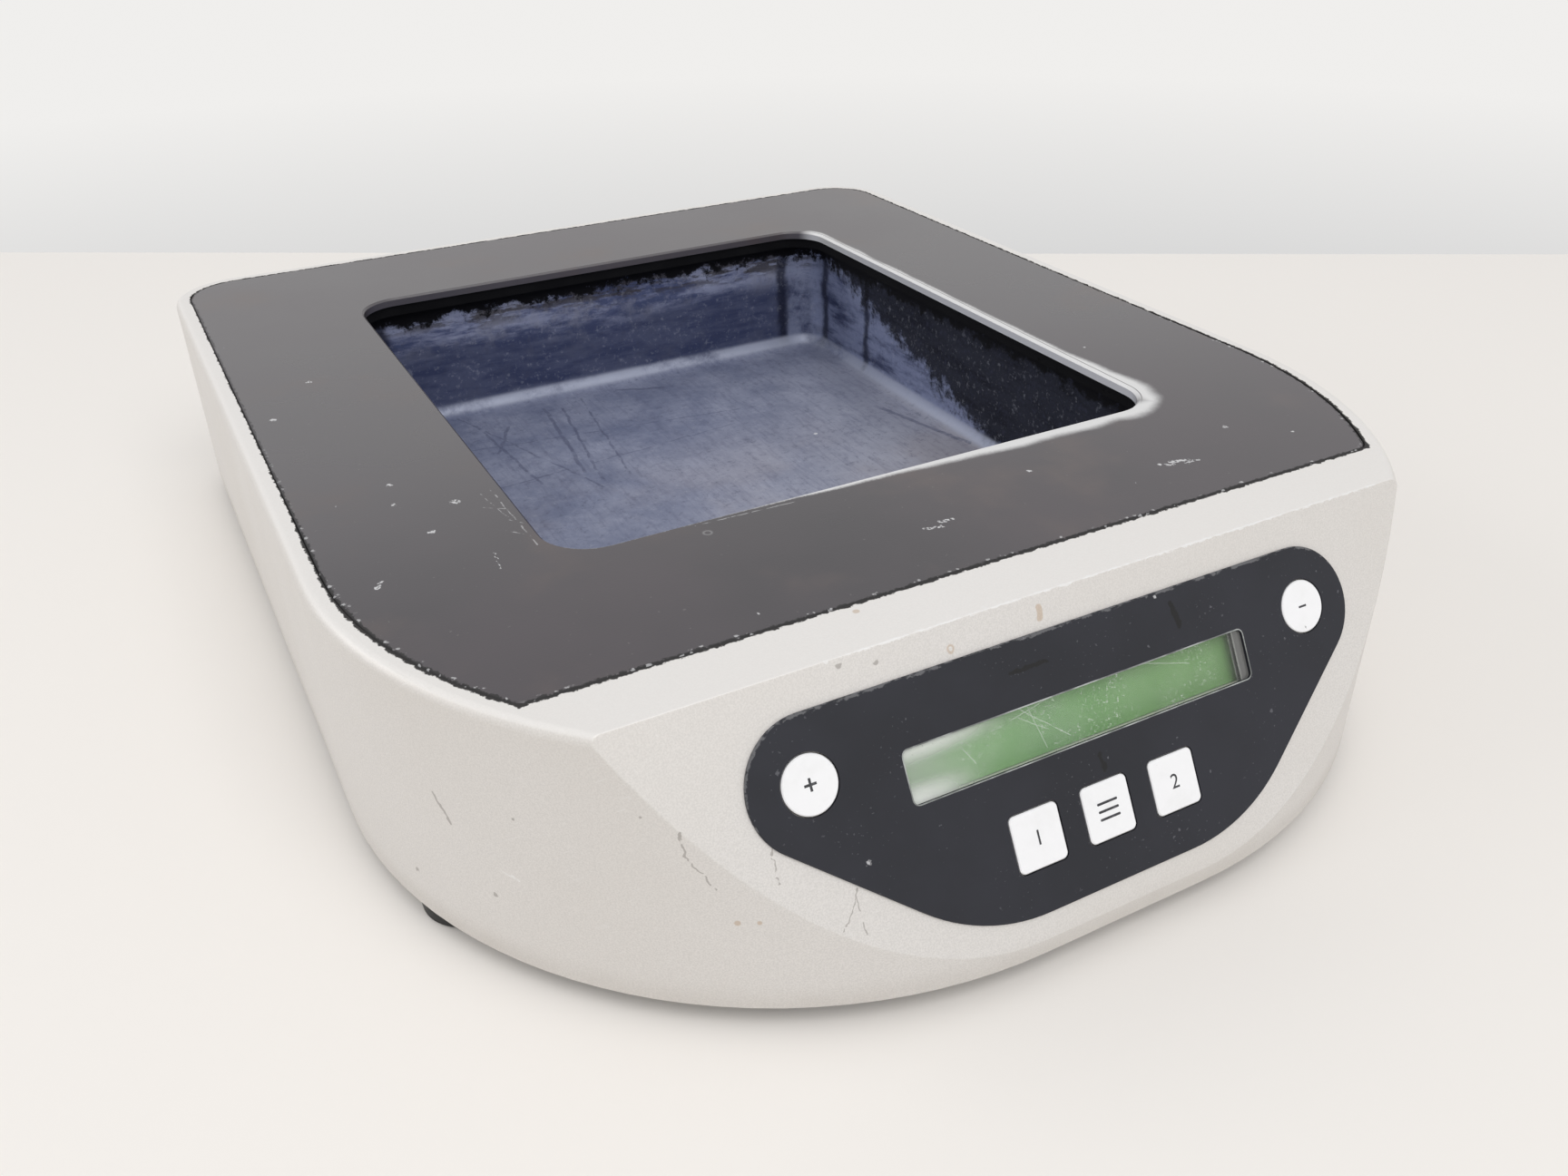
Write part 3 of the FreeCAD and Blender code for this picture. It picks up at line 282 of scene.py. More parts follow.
# %% World: one background for what is seen, one for the light it gives
LIGHT_LEVEL = 0.63
world = bpy.data.worlds.new("backdrop")
world.use_nodes = True
bpy.context.scene.world = world
sky = world.node_tree
seen = sky.nodes["Background"]
given_off = add(sky, "Background", {"Color": rgb(0.985, 0.99, 1.0), "Strength": LIGHT_LEVEL})
direction = add(sky, "TexCoord").outputs["Generated"]
steepness = add(sky, "SeparateXYZ", {"Vector": direction}).outputs["Z"]
upper, lower = [
    add(sky, "MapRange", {"Value": steepness, "From Min": start, "From Max": end}).outputs[0]
    for start, end in ((-0.3, -0.17), (-0.33, -0.45))]
wall = blend(sky, highest(sky, upper, lower), rgb(0.67, 0.67, 0.67), rgb(0.87, 0.86, 0.845))
sky.links.new(wall, seen.inputs["Color"])
path = add(sky, "LightPath").outputs
looks = highest(sky, path["Is Camera Ray"], path["Is Glossy Ray"], path["Is Transmission Ray"])
chooser = add(sky, "MixShader", {"Fac": looks, 1: given_off.outputs[0], 2: seen.outputs[0]})
sky.links.new(chooser.outputs[0], sky.nodes["World Output"].inputs["Surface"])
print("world at", LIGHT_LEVEL)

# %% Two wide lamps
def lamp(name, place, size, watts):
    """A square area lamp that points at the basin."""
    data = bpy.data.lights.new(name, "AREA")
    data.size = size
    data.energy = watts
    made = new_object(name, data)
    made.location = place
    aim = Vector((0.0, 0.0, 0.03)) - place
    made.rotation_euler = aim.to_track_quat("-Z", "Y").to_euler()


lamp("ceiling_lamp", Vector((-0.15, -1.6, 2.1)), 2.0, 30.0)
lamp("window_lamp", Vector((-2.2, 1.2, 1.2)), 1.6, 15.0)
print(len(bpy.data.lights), "lamps")

# %% [markdown]
# ## Effects that several finishes share
# Wear looks alike on paint, anodising and film: soft patches, small flecks, hairline scratches,
# and single marks at one place. Each is a node group with named sockets, built once and given
# its own values in each material. A group puts out a mask only, so the material decides
# what the mask does to colour, roughness or relief.

# %% A frame for new groups
def new_group(name, inputs, output):
    """An empty node group with the named inputs and one output."""
    group = bpy.data.node_groups.new(name, "ShaderNodeTree")
    for socket, default in inputs.items():
        vector = isinstance(default, tuple)
        made = group.interface.new_socket(
            name=socket, in_out="INPUT",
            socket_type="NodeSocketVector" if vector else "NodeSocketFloat")
        made.default_value = default
    group.interface.new_socket(name=output, in_out="OUTPUT", socket_type="NodeSocketFloat")
    entry = group.nodes.new("NodeGroupInput")
    leave = group.nodes.new("NodeGroupOutput")
    return group, entry.outputs, leave.inputs[output]


def use(tree, group, vector, **values):
    """Places a group in a material and gives its mask."""
    node = tree.nodes.new("ShaderNodeGroup")
    node.node_tree = group
    fill(tree, node, {"Vector": vector, **values})
    return node.outputs[0]


HERE = (0.0, 0.0, 0.0)

# %% Soft patches
patches, given, result = new_group(
    "soft_patches", {"Vector": HERE, "Scale": 20.0, "Low": 0.45, "High": 0.6}, "Mask")
noise = cloud(patches, given["Vector"], given["Scale"], 4.0)
patches.links.new(threshold(patches, noise, given["Low"], given["High"]), result)
print(patches.name, "has", len(patches.nodes), "nodes")

# %% Flecks: small chips, in a share of the cells of a Voronoi pattern
flecks, given, result = new_group(
    "flecks", {"Vector": HERE, "Scale": 300.0, "Size": 0.4, "Share": 0.1}, "Mask")
shift = scaled(flecks, add(
    flecks, "TexNoise", {"Vector": given["Vector"], "Scale": 1500.0}).outputs[1], 1.2 * MM)
cells = add(flecks, "TexVoronoi", {
    "Vector": vector_step(flecks, "ADD", given["Vector"], shift), "Scale": given["Scale"]})
parts = add(flecks, "SeparateColor", {"Color": cells.outputs["Color"]})
size = product(flecks, given["Size"], parts.outputs["Green"])
inside = threshold(flecks, cells.outputs["Distance"], size, product(flecks, size, 0.6))
chosen = calculate(flecks, "LESS_THAN", parts.outputs["Red"], given["Share"])
flecks.links.new(product(flecks, inside, chosen), result)
print(flecks.name, "has", len(flecks.nodes), "nodes")

# %% Hairlines: noise drawn out along one direction, so that its peaks become thin scratches
hairlines, given, result = new_group(
    "hairlines",
    {"Vector": HERE, "Turn": HERE, "Scale": 900.0, "Stretch": 30.0, "Low": 0.68, "High": 0.74},
    "Mask")
turned = add(hairlines, "VectorRotate", {
    "Vector": given["Vector"], "Rotation": given["Turn"]}, rotation_type="EULER_XYZ").outputs[0]
squeeze = calculate(hairlines, "DIVIDE", 1.0, given["Stretch"])
drawn = vector_step(hairlines, "MULTIPLY", turned, add(
    hairlines, "CombineXYZ", {"X": squeeze, "Y": 1.0, "Z": 1.0}).outputs[0])
wave = cloud(hairlines, drawn, given["Scale"], 1.0)
gaps = threshold(hairlines, cloud(hairlines, given["Vector"], 70.0), 0.42, 0.6)
lines = threshold(hairlines, wave, given["Low"], given["High"])
hairlines.links.new(product(hairlines, lines, gaps), result)
print(hairlines.name, "has", len(hairlines.nodes), "nodes")

# %% A stroke: one scratch or mark between two points, with an unsteady edge
stroke, given, result = new_group(
    "stroke",
    {"Vector": HERE, "Start": HERE, "End": HERE, "Width": 0.5 * MM, "Wobble": 0.5 * MM,
     "Ripple": 260.0},
    "Mask")
run = vector_step(stroke, "SUBTRACT", given["End"], given["Start"])
unsteady = vector_step(stroke, "SUBTRACT", add(
    stroke, "TexNoise", {"Vector": given["Vector"], "Scale": given["Ripple"]}).outputs[1],
    (0.5, 0.5, 0.5))
pushed = scaled(stroke, unsteady, given["Wobble"])
place = vector_step(stroke, "ADD", given["Vector"], pushed)
offset = vector_step(stroke, "SUBTRACT", place, given["Start"])
along = calculate(
    stroke, "DIVIDE", vector_number(stroke, "DOT_PRODUCT", offset, run),
    vector_number(stroke, "DOT_PRODUCT", run, run))
along = add(stroke, "Clamp", {"Value": along}).outputs[0]
distance = vector_number(stroke, "DISTANCE", offset, scaled(stroke, run, along))
half = product(stroke, given["Width"], 0.5)
faint = product(stroke, half, 1.6)
stroke.links.new(threshold(stroke, distance, faint, half), result)
print(stroke.name, "has", len(stroke.nodes), "nodes")

# %% Several strokes as one mask, each as a start, an end and a width in millimetres
def metres(place):
    """A place in millimetres, in metres."""
    return tuple(value * MM for value in place)


def marks(tree, vector, places, wobble=0.8, ripple=260.0):
    """One mask that holds all the strokes of a list."""
    return highest(tree, 0.0, *[
        use(tree, stroke, vector, Start=metres(start), End=metres(end), Width=width * MM,
            Wobble=wobble * MM, Ripple=ripple)
        for start, end, width in places])


def speck(x, y, z, width):
    """A round mark, written as a stroke that ends where it starts."""
    return (x, y, z), (x, y, z), width


def on_level(level, strokes, specks=()):
    """Marks on a level face: strokes from x, y to x, y with a width, and round specks."""
    return [((x, y, level), (to_x, to_y, level), width) for x, y, to_x, to_y, width in strokes] + [
        speck(x, y, level, width) for x, y, width in specks]


print("marks ready")

# %% Distance from a rounded rectangle seen from above: below 0 inside, above 0 outside
outline, given, result = new_group(
    "rounded_rectangle", {"Vector": HERE, "Centre": HERE, "Half": HERE, "Radius": 0.0}, "Distance")
flat = vector_step(outline, "MULTIPLY", vector_step(
    outline, "SUBTRACT", given["Vector"], given["Centre"]), (1.0, 1.0, 0.0))
corner = vector_step(outline, "SUBTRACT", vector_step(outline, "ABSOLUTE", flat), given["Half"])
corner = vector_step(outline, "ADD", corner, add(
    outline, "CombineXYZ", {"X": given["Radius"], "Y": given["Radius"]}).outputs[0])
beyond = vector_number(outline, "LENGTH", vector_step(outline, "MAXIMUM", vector_step(
    outline, "MULTIPLY", corner, (1.0, 1.0, 0.0)), HERE))
sides = split(outline, corner)
within = calculate(outline, "MINIMUM", highest(outline, sides[0], sides[1]), 0.0)
reach = total(outline, beyond, within)
outline.links.new(less(outline, reach, given["Radius"]), result)
print(outline.name, "has", len(outline.nodes), "nodes")

# %% The joint between plate and housing: a distance that is below 0 on the plate
def plate_edge(tree, vector):
    """Distance from the outline of the plate: straight in front, rounded all round."""
    sides = split(tree, vector)
    radius = between(tree, threshold(tree, sides[1], -MM, MM), FRONT_RADIUS, BACK_RADIUS)
    rounded = use(
        tree, outline, vector, Centre=(0.0, plate_centre_y, 0.0),
        Half=(plate_half_x, plate_half_y, 0.0), Radius=radius)
    front = less(tree, plate_low.y, sides[1])
    return highest(tree, rounded, front)


print("plate outline ready")

# %% [markdown]
# ## Starting a finish
# Every finish starts the same way: a Principled shader, Object coordinates, and a fine grain
# that gives relief and a little life to the roughness. Object coordinates suit a CAD part,
# because the pattern is in metres and runs on over all the faces of a node.

# %% A new finish
finishes = {}


def new_finish(name, grain_scale, grain_height, **sockets):
    """A material with a fine grain. Gives its tree, shader, coordinates and grain."""
    material = bpy.data.materials.new(name)
    material.use_nodes = True
    tree = material.node_tree
    shader = tree.nodes["Principled BSDF"]
    for socket, value in sockets.items():
        shader.inputs[socket.replace("_", " ")].default_value = value
    coordinates = add(tree, "TexCoord").outputs["Object"]
    grain = cloud(tree, coordinates, grain_scale, 2.0)
    bump = add(tree, "Bump", {"Height": grain, "Distance": grain_height, "Strength": 0.6})
    tree.links.new(bump.outputs[0], shader.inputs["Normal"])
    finishes[name] = material
    return tree, shader, coordinates, grain


def connect(tree, source, shader, socket):
    """A wire from a step to the shader."""
    tree.links.new(source, shader.inputs[socket])


print("ready for the first finish")

# %% [markdown]
# ## Finishes of the parts inside and underneath
# The parts behind the housing show only from below or through the socket, but each still has
# its own material: patches of a second tone, flecks of dirt and a roughness that follows them.
# One short recipe with different values covers them all.

# %% The recipe for everyday finishes
def everyday(
        name, colour, second, roughness, metallic=0.0, scale=60.0, grain=1500.0, relief=0.05):
    """A finish with patches of a second tone, dirt flecks and uneven gloss."""
    tree, shader, coordinates, fine = new_finish(name, grain, relief * MM, Metallic=metallic)
    mask = use(tree, patches, coordinates, Scale=scale, Low=0.4, High=0.65)
    tone = blend(tree, mask, rgb(*colour), rgb(*second))
    dirt = use(tree, flecks, coordinates, Scale=420.0, Size=0.3, Share=0.05)
    dark = rgb(*[value * 0.35 for value in colour])
    connect(tree, blend(tree, dirt, tone, dark), shader, "Base Color")
    gloss = between(tree, mask, roughness - 0.06, roughness + 0.08)
    uneven = between(tree, fine, -0.05, 0.05)
    connect(tree, total(tree, gloss, uneven), shader, "Roughness")
    return shader


seal = everyday("black_seal", (0.003, 0.003, 0.004), (0.006, 0.006, 0.007), 0.85, scale=90.0)
seal.inputs["Specular IOR Level"].default_value = 0.12
everyday("black_rubber", (0.012, 0.012, 0.012), (0.03, 0.029, 0.028), 0.7, scale=120.0)
everyday("switch_plastic", (0.03, 0.03, 0.032), (0.05, 0.05, 0.05), 0.5)
everyday("light_guide", (0.62, 0.68, 0.55), (0.55, 0.6, 0.48), 0.45)
everyday("plated_steel", (0.5, 0.5, 0.48), (0.4, 0.41, 0.42), 0.38, 1.0, scale=45.0)
everyday("zinc_fasteners", (0.62, 0.62, 0.62), (0.5, 0.49, 0.46), 0.3, 1.0, scale=300.0)
everyday("nylon_spacers", (0.75, 0.74, 0.68), (0.66, 0.64, 0.56), 0.5)
everyday("circuit_board", (0.012, 0.12, 0.045), (0.02, 0.18, 0.07), 0.35, scale=150.0)
everyday("chip_plastic", (0.02, 0.02, 0.021), (0.035, 0.035, 0.036), 0.5, scale=200.0)
everyday("silicone_mat", (0.28, 0.06, 0.03), (0.36, 0.09, 0.04), 0.62, scale=40.0, relief=0.2)
everyday("bare_aluminium", (0.66, 0.66, 0.67), (0.5, 0.5, 0.51), 0.35, 1.0, scale=90.0)
everyday("insulation_foam", (0.66, 0.64, 0.56), (0.55, 0.52, 0.44), 0.9, grain=700.0, relief=0.5)
everyday("iron_laminations", (0.12, 0.12, 0.125), (0.2, 0.17, 0.14), 0.5, 0.8, scale=110.0)
everyday("copper_winding", (0.36, 0.16, 0.06), (0.45, 0.22, 0.09), 0.4, 0.6, scale=140.0)
everyday("terminal_plastic", (0.03, 0.2, 0.07), (0.05, 0.26, 0.1), 0.45)
everyday("module_plastic", (0.018, 0.018, 0.019), (0.034, 0.034, 0.036), 0.48, scale=70.0)
everyday("contact_brass", (0.6, 0.55, 0.45), (0.45, 0.38, 0.28), 0.32, 1.0, scale=260.0)
everyday("fuse_glass", (0.7, 0.71, 0.7), (0.55, 0.56, 0.56), 0.2, 0.4, scale=300.0)
print(len(finishes), "everyday finishes")

# %% [markdown]
# ## Silver paint on the housing
# The housing is a structural moulding with a silver-grey spray coat. Close up the coat has a
# fine orange-peel relief and a metallic speckle, and years on a bench have left pale scuffs,
# brown drips and a few cracks in it. Faces that look up are painted lighter as a painted
# highlight, and a painted highlight line runs along the crease. Each single mark is a stroke at
# its own place.

# %% Silver paint
tree, shader, coordinates, _ = new_finish(
    "silver_housing", 1400.0, 0.05 * MM, Metallic=0.2)
speckle = threshold(tree, cloud(tree, coordinates, 2600.0, 1.0), 0.3, 0.7)
coat = blend(tree, speckle, rgb(0.635, 0.612, 0.588), rgb(0.715, 0.69, 0.665))
tint = use(tree, patches, coordinates, Scale=9.0, Low=0.35, High=0.7)
coat = blend(tree, tint, coat, rgb(0.63, 0.595, 0.55), 0.35)
scuffs = use(tree, hairlines, coordinates, Turn=(0.3, 0.5, 0.9), Scale=1300.0, Low=0.71)
coat = blend(tree, scuffs, coat, rgb(0.8, 0.79, 0.78), 0.3)
# Painted highlight: faces that look up are painted lighter.
painted_top_highlight = threshold(tree, split(tree, normal(tree))[2], 0.6, 0.95)
coat = blend(tree, painted_top_highlight, coat, rgb(0.84, 0.82, 0.8), 0.65)
specks = use(tree, flecks, coordinates, Scale=140.0, Size=0.14, Share=0.025)
coat = blend(tree, specks, coat, rgb(0.3, 0.25, 0.19), 0.5)

# %% Silver paint: cracks, stains, pale scratches and chips, and a painted highlight along the crease
cracks = marks(tree, coordinates, [
    ((-103.3, -171.6, 58.3), (-102.6, -172.1, 50.9), 0.45),
    ((-102.6, -172.1, 50.9), (-97.4, -175.8, 42.6), 0.35),
    ((-142.7, -123.4, 49.4), (-140.7, -127.4, 42.8), 0.7),
    ((-84.7, -176.5, 49.0), (-85.2, -180.4, 42.1), 0.35),
    ((-67.7, -183.9, 36.0), (-70.9, -186.6, 31.2), 0.35),
    ((-70.9, -186.6, 31.2), (-74.9, -188.4, 28.1), 0.3),
    ((-68.4, -184.8, 34.4), (-68.4, -189.1, 26.8), 0.25),
    speck(-135.5, -136.5, 26.1, 1.0), speck(-130.4, -144.0, 52.1, 0.8),
    speck(-109.6, -166.5, 60.7, 0.7), speck(-147.7, -111.4, 18.7, 1.0),
    speck(-58.8, -160.4, 77.4, 1.0), speck(-50.0, -161.2, 75.9, 1.1),
], wobble=2.2, ripple=420.0)
coat = blend(tree, cracks, coat, rgb(0.24, 0.21, 0.19), 0.5)
stains = marks(tree, coordinates, [
    ((-5.2, -161.2, 76.0), (-5.7, -162.3, 74.0), 1.2),
    speck(-94.1, -177.9, 32.9, 1.2), speck(-89.8, -180.5, 33.3, 0.9),
    speck(-45.7, -145.5, 79.0, 1.3), speck(-30.7, -162.5, 73.7, 1.7),
], wobble=1.5)
ring_hole = marks(tree, coordinates, [speck(-30.7, -162.5, 73.7, 0.9)], wobble=1.5)
stains = product(tree, stains, without(tree, ring_hole))
coat = blend(tree, stains, coat, rgb(0.42, 0.26, 0.12), 0.45)
# Pale chips and a scratch, and a painted highlight line along the crease.
chips_and_crease_highlight = marks(tree, coordinates, [
    ((-134.0, -138.8, 34.5), (-131.0, -143.2, 33.8), 0.5),
    ((-58.0, crease_y / MM, 79.0), (108.0, crease_y / MM, 79.0), 0.5),
    speck(-115.9, -161.2, 79.0, 1.1), speck(-61.6, -159.5, 79.0, 0.9),
    speck(-19.0, -158.6, 79.0, 0.8),
], wobble=1.6, ripple=500.0)
chips_and_crease_highlight = product(tree, chips_and_crease_highlight, threshold(tree, cloud(tree, coordinates, 300.0, 4.0), 0.36, 0.56))
coat = blend(tree, chips_and_crease_highlight, coat, rgb(0.84, 0.84, 0.84), 0.6)

# %% Silver paint: grime in the joint, flecks along it, and dust low down
edge = plate_edge(tree, coordinates)
sides = split(tree, coordinates)
jag = between(tree, cloud(tree, coordinates, 420.0, 5.0, 0.75), -1.5 * MM, 1.5 * MM)
toward_front = threshold(tree, sides[1], 0.02, -0.1)
reach = between(tree, toward_front, 0.25 * MM, 0.75 * MM)
near_top = threshold(tree, sides[2], top - 3.0 * MM, top - 1.0 * MM)
grime = product(
    tree, near_top,
    threshold(tree, total(tree, edge, jag), total(tree, reach, 0.35 * MM), reach))
coat = blend(tree, grime, coat, rgb(0.03, 0.028, 0.028))
low_down = threshold(tree, sides[2], 15.0 * MM, 7.0 * MM)
dusty = product(tree, low_down, cloud(tree, coordinates, 60.0, 4.0))
coat = blend(tree, dusty, coat, rgb(0.42, 0.38, 0.33), 0.5)
connect(tree, coat, shader, "Base Color")
gloss = between(tree, tint, 0.42, 0.5)
gloss = between(tree, scuffs, gloss, 0.58)
connect(tree, between(tree, highest(tree, grime, cracks), gloss, 0.85), shader, "Roughness")
print("silver paint has", len(tree.nodes), "nodes")

# %% [markdown]
# ## Black coating on the top plate
# The plate is aluminium with a thin satin black coat. It has worn through to bright metal
# round the right and front of the opening, where racks and fingers rub, and it carries small
# pale chips and cuts. The distance from the opening's outline steers the wear, and noise
# feathers its edge, so the worn band has no hard border. A painted sheen makes the coat lighter
# toward the back.

# %% Plate coating
tree, shader, coordinates, _ = new_finish("black_plate", 1900.0, 0.03 * MM)
sides = split(tree, coordinates)
tone = use(tree, patches, coordinates, Scale=9.0, Low=0.36, High=0.68)
coat = blend(tree, tone, rgb(0.018, 0.015, 0.022), rgb(0.038, 0.029, 0.038))
# Painted sheen: the coat is painted lighter toward the back.
painted_back_sheen = threshold(tree, sides[1], -135.0 * MM, 10.0 * MM)
coat = blend(tree, painted_back_sheen, coat, rgb(0.098, 0.09, 0.1), 0.5)
shader.inputs["Specular IOR Level"].default_value = 0.86
browned = use(tree, patches, coordinates, Scale=22.0, Low=0.52, High=0.72)
coat = blend(tree, browned, coat, rgb(0.075, 0.052, 0.05), 0.6)
powder = use(tree, flecks, coordinates, Scale=900.0, Size=0.3, Share=0.04)
coat = blend(tree, powder, coat, rgb(0.16, 0.15, 0.15), 0.5)

# %% Plate coating: the worn band round the opening
EDGE_REACH = 6.0 * MM
WORN_WIDTH = 8.2 * MM
GROOVE_OUT = 1.3 * MM
distance = use(
    tree, outline, coordinates, Centre=tuple(opening_centre), Half=tuple(opening_half),
    Radius=OPENING_RADIUS)
front_edge_y = opening_centre.y - opening_half.y
right_edge_x = opening_centre.x + opening_half.x
on_front = threshold(tree, sides[1], front_edge_y + EDGE_REACH, front_edge_y)
on_right = threshold(tree, sides[0], right_edge_x - EDGE_REACH, right_edge_x)
front_width = product(tree, on_front, between(
    tree, threshold(tree, sides[0], -70.0 * MM, 115.0 * MM), 0.3 * MM, WORN_WIDTH))
right_width = product(tree, on_right, between(
    tree, threshold(tree, sides[1], -25.0 * MM, -95.0 * MM), 2.7 * MM, WORN_WIDTH))
band_width = highest(tree, front_width, right_width, 0.35 * MM)
feather = between(tree, cloud(tree, coordinates, 60.0, 2.0, 0.4), -0.45, 0.45)
crumbs = between(tree, cloud(tree, coordinates, 1300.0, 2.0), -0.45 * MM, 0.45 * MM)
worn_to = total(tree, distance, product(tree, feather, band_width), crumbs)
bare = product(tree, highest(tree, on_front, on_right), threshold(
    tree, worn_to, total(tree, band_width, 0.6 * MM), product(tree, band_width, 0.45)))
from_groove = calculate(tree, "ABSOLUTE", less(tree, distance, GROOVE_OUT))
groove = product(tree, on_right, threshold(tree, from_groove, 0.3 * MM, 0.12 * MM))
bare = product(tree, bare, without(tree, groove, 0.75))

# %% Plate coating: chips, cuts and scuffs at their places
chips = marks(tree, coordinates, on_level(plate_level, [
    (-139.3, -79.6, -137.6, -77.6, 0.8), (-110.5, -85.4, -109.9, -76.9, 0.35),
    (66.9, -121.6, 70.5, -123.8, 0.9), (71.0, -121.9, 75.5, -122.9, 1.3),
    (74.0, -124.6, 78.5, -124.4, 0.7), (-9.9, -120.4, -5.5, -121.4, 0.9),
    (-4.6, -119.2, -0.8, -119.4, 0.8),
], [
    (-143.3, 36.7, 1.6), (-110.3, -44.9, 2.2), (-123.4, -26.0, 1.2), (-125.3, -38.6, 1.0),
    (-120.2, -58.4, 1.5), (-127.2, 62.4, 1.3), (33.5, -106.8, 1.2), (-65.4, -135.1, 0.9),
    (100.9, -111.7, 1.0),
]), wobble=2.4, ripple=650.0)
dashed = threshold(tree, cloud(tree, coordinates, 1100.0, 2.0), 0.4, 0.55)
chips = product(tree, chips, dashed)
cuts = marks(tree, coordinates, on_level(plate_level, [
    (-99.8, -42.0, -98.8, -78.5, 0.3), (-103.0, -44.0, -100.4, -62.0, 0.25),
    (-104.5, -52.0, -98.6, -56.5, 0.25), (-102.4, -60.0, -98.2, -66.0, 0.25),
    (-104.0, -66.5, -99.0, -72.8, 0.3), (-60.0, -89.4, -30.0, -90.6, 0.3),
]), wobble=0.9)
loose_chips = use(tree, flecks, coordinates, Scale=130.0, Size=0.09, Share=0.07)
cuts = product(tree, cuts, threshold(tree, cloud(tree, coordinates, 500.0, 3.0), 0.42, 0.58), 0.5)
wide, narrow = [
    marks(tree, coordinates, on_level(plate_level, [], [(-58.9, -94.4, width)]), 0.6)
    for width in (2.0, 1.2)]
ring = less(tree, wide, narrow)
chips = highest(tree, chips, loose_chips, cuts, product(tree, ring, 0.25))

# %% Plate coating: the crumbled outer edge, and all of it together
edge = plate_edge(tree, coordinates)
jag = between(tree, cloud(tree, coordinates, 480.0, 5.0, 0.75), -1.6 * MM, 1.6 * MM)
near_edge = total(tree, edge, jag)
toward_front = threshold(tree, sides[1], 0.06, -0.08)
crumbled = product(
    tree, threshold(tree, near_edge, -0.85 * MM, -0.45 * MM),
    between(tree, toward_front, 0.5, 1.0))
rim_flecks = product(
    tree, use(tree, flecks, coordinates, Scale=800.0, Size=0.7, Share=0.3),
    threshold(tree, near_edge, -1.7 * MM, -1.0 * MM), toward_front)
coat = blend(tree, crumbled, coat, rgb(0.006, 0.005, 0.006))
pale_bits = highest(tree, chips, product(tree, rim_flecks, 0.7))
coat = blend(tree, pale_bits, coat, rgb(0.56, 0.56, 0.57))
connect(tree, blend(tree, bare, coat, rgb(0.74, 0.74, 0.745)), shader, "Base Color")
gloss = between(tree, tone, 0.27, 0.33)
gloss = between(tree, crumbled, gloss, 0.8)
connect(tree, between(tree, bare, gloss, 0.42), shader, "Roughness")
connect(tree, product(tree, bare, 0.45), shader, "Metallic")
print("plate coating has", len(tree.nodes), "nodes")

# %% [markdown]
# ## Blue-grey anodising in the basin
# The basin is drawn aluminium with a blue-grey anodised skin. Under the seal runs a nearly black
# band, partly a stain left by years of water at one level and partly painted shadow under the
# plate, with brown residue along its ragged lower edge. Streaks run level round the walls, and
# dark lines mark where the corners begin. The right wall has painted highlights low down and
# painted shadow higher up. The floor is cloudy and scored by blades, with painted light toward
# the front, and the bend between wall and floor has a painted highlight. Height, side and
# the slope of the surface choose between these zones, and noise breaks up each border.

# %% Basin anodising: level streaks on the walls
tree, shader, coordinates, _ = new_finish("blue_basin", 1100.0, 0.04 * MM)
sides = split(tree, coordinates)
height = less(tree, sides[2], basin_low.z)
level = vector_step(tree, "MULTIPLY", coordinates, (0.22, 0.22, 1.0))
streaks = cloud(tree, level, 150.0, 6.0, 0.68)
mottle = cloud(tree, coordinates, 90.0, 6.0, 0.7)
skin = blend(
    tree, threshold(tree, streaks, 0.4, 0.6), rgb(0.085, 0.105, 0.21), rgb(0.34, 0.37, 0.52))
skin = blend(tree, threshold(tree, mottle, 0.48, 0.66), skin, rgb(0.36, 0.37, 0.45), 0.55)
waver = between(tree, cloud(tree, level, 60.0, 4.0, 0.6), -10.0 * MM, 10.0 * MM)
wavy_height = total(tree, height, waver)
lower = threshold(tree, wavy_height, 38.0 * MM, 25.0 * MM)
skin = blend(tree, lower, skin, rgb(0.036, 0.046, 0.105), 0.85)

# %% Basin anodising: residue, and the black band of stain and painted shadow
DARK_BAND_LINE = 41.0 * MM
residue = product(
    tree, threshold(tree, wavy_height, 33.0 * MM, 42.0 * MM),
    threshold(tree, cloud(tree, level, 260.0, 6.0, 0.75), 0.46, 0.56))
skin = blend(tree, residue, skin, rgb(0.06, 0.052, 0.05), 0.85)
ragged = between(tree, cloud(tree, coordinates, 170.0, 6.0, 0.75), -11.0 * MM, 11.0 * MM)
# Nearly black band: partly stain, partly painted shadow under the overhanging plate.
stain_and_shadow_band = threshold(
    tree, total(tree, height, ragged), DARK_BAND_LINE, DARK_BAND_LINE + 3.0 * MM)

# %% Basin anodising: dark lines beside the back corners
LINE_X = 88.0 * MM
LINE_Y = 127.5 * MM
SECOND_LINE_Y = 92.5 * MM
sway = between(tree, cloud(tree, coordinates, 120.0, 4.0), -3.0 * MM, 3.0 * MM)


def upright_line(source, place, width, beyond):
    """A dark line down a wall, where one coordinate has a value and a mask allows it."""
    away = calculate(tree, "ABSOLUTE", less(tree, total(tree, source, sway), place))
    return product(tree, threshold(tree, away, width * 1.3, width * 0.2), beyond)


on_back = threshold(tree, sides[1], 128.0 * MM, 131.0 * MM)
across = calculate(tree, "ABSOLUTE", sides[0])
on_side = threshold(tree, across, 94.0 * MM, 97.0 * MM)
corner_zone = product(
    tree, threshold(tree, across, LINE_X, LINE_X + 3.0 * MM),
    threshold(tree, sides[1], 125.0 * MM, 128.0 * MM), threshold(tree, mottle, 0.3, 0.6))
skin = blend(tree, corner_zone, skin, rgb(0.34, 0.38, 0.53), 0.6)
lines = highest(
    tree, upright_line(across, LINE_X, 3.0 * MM, on_back),
    upright_line(sides[1], LINE_Y, 2.8 * MM, on_side),
    upright_line(sides[1], SECOND_LINE_Y, 2.4 * MM, on_side))
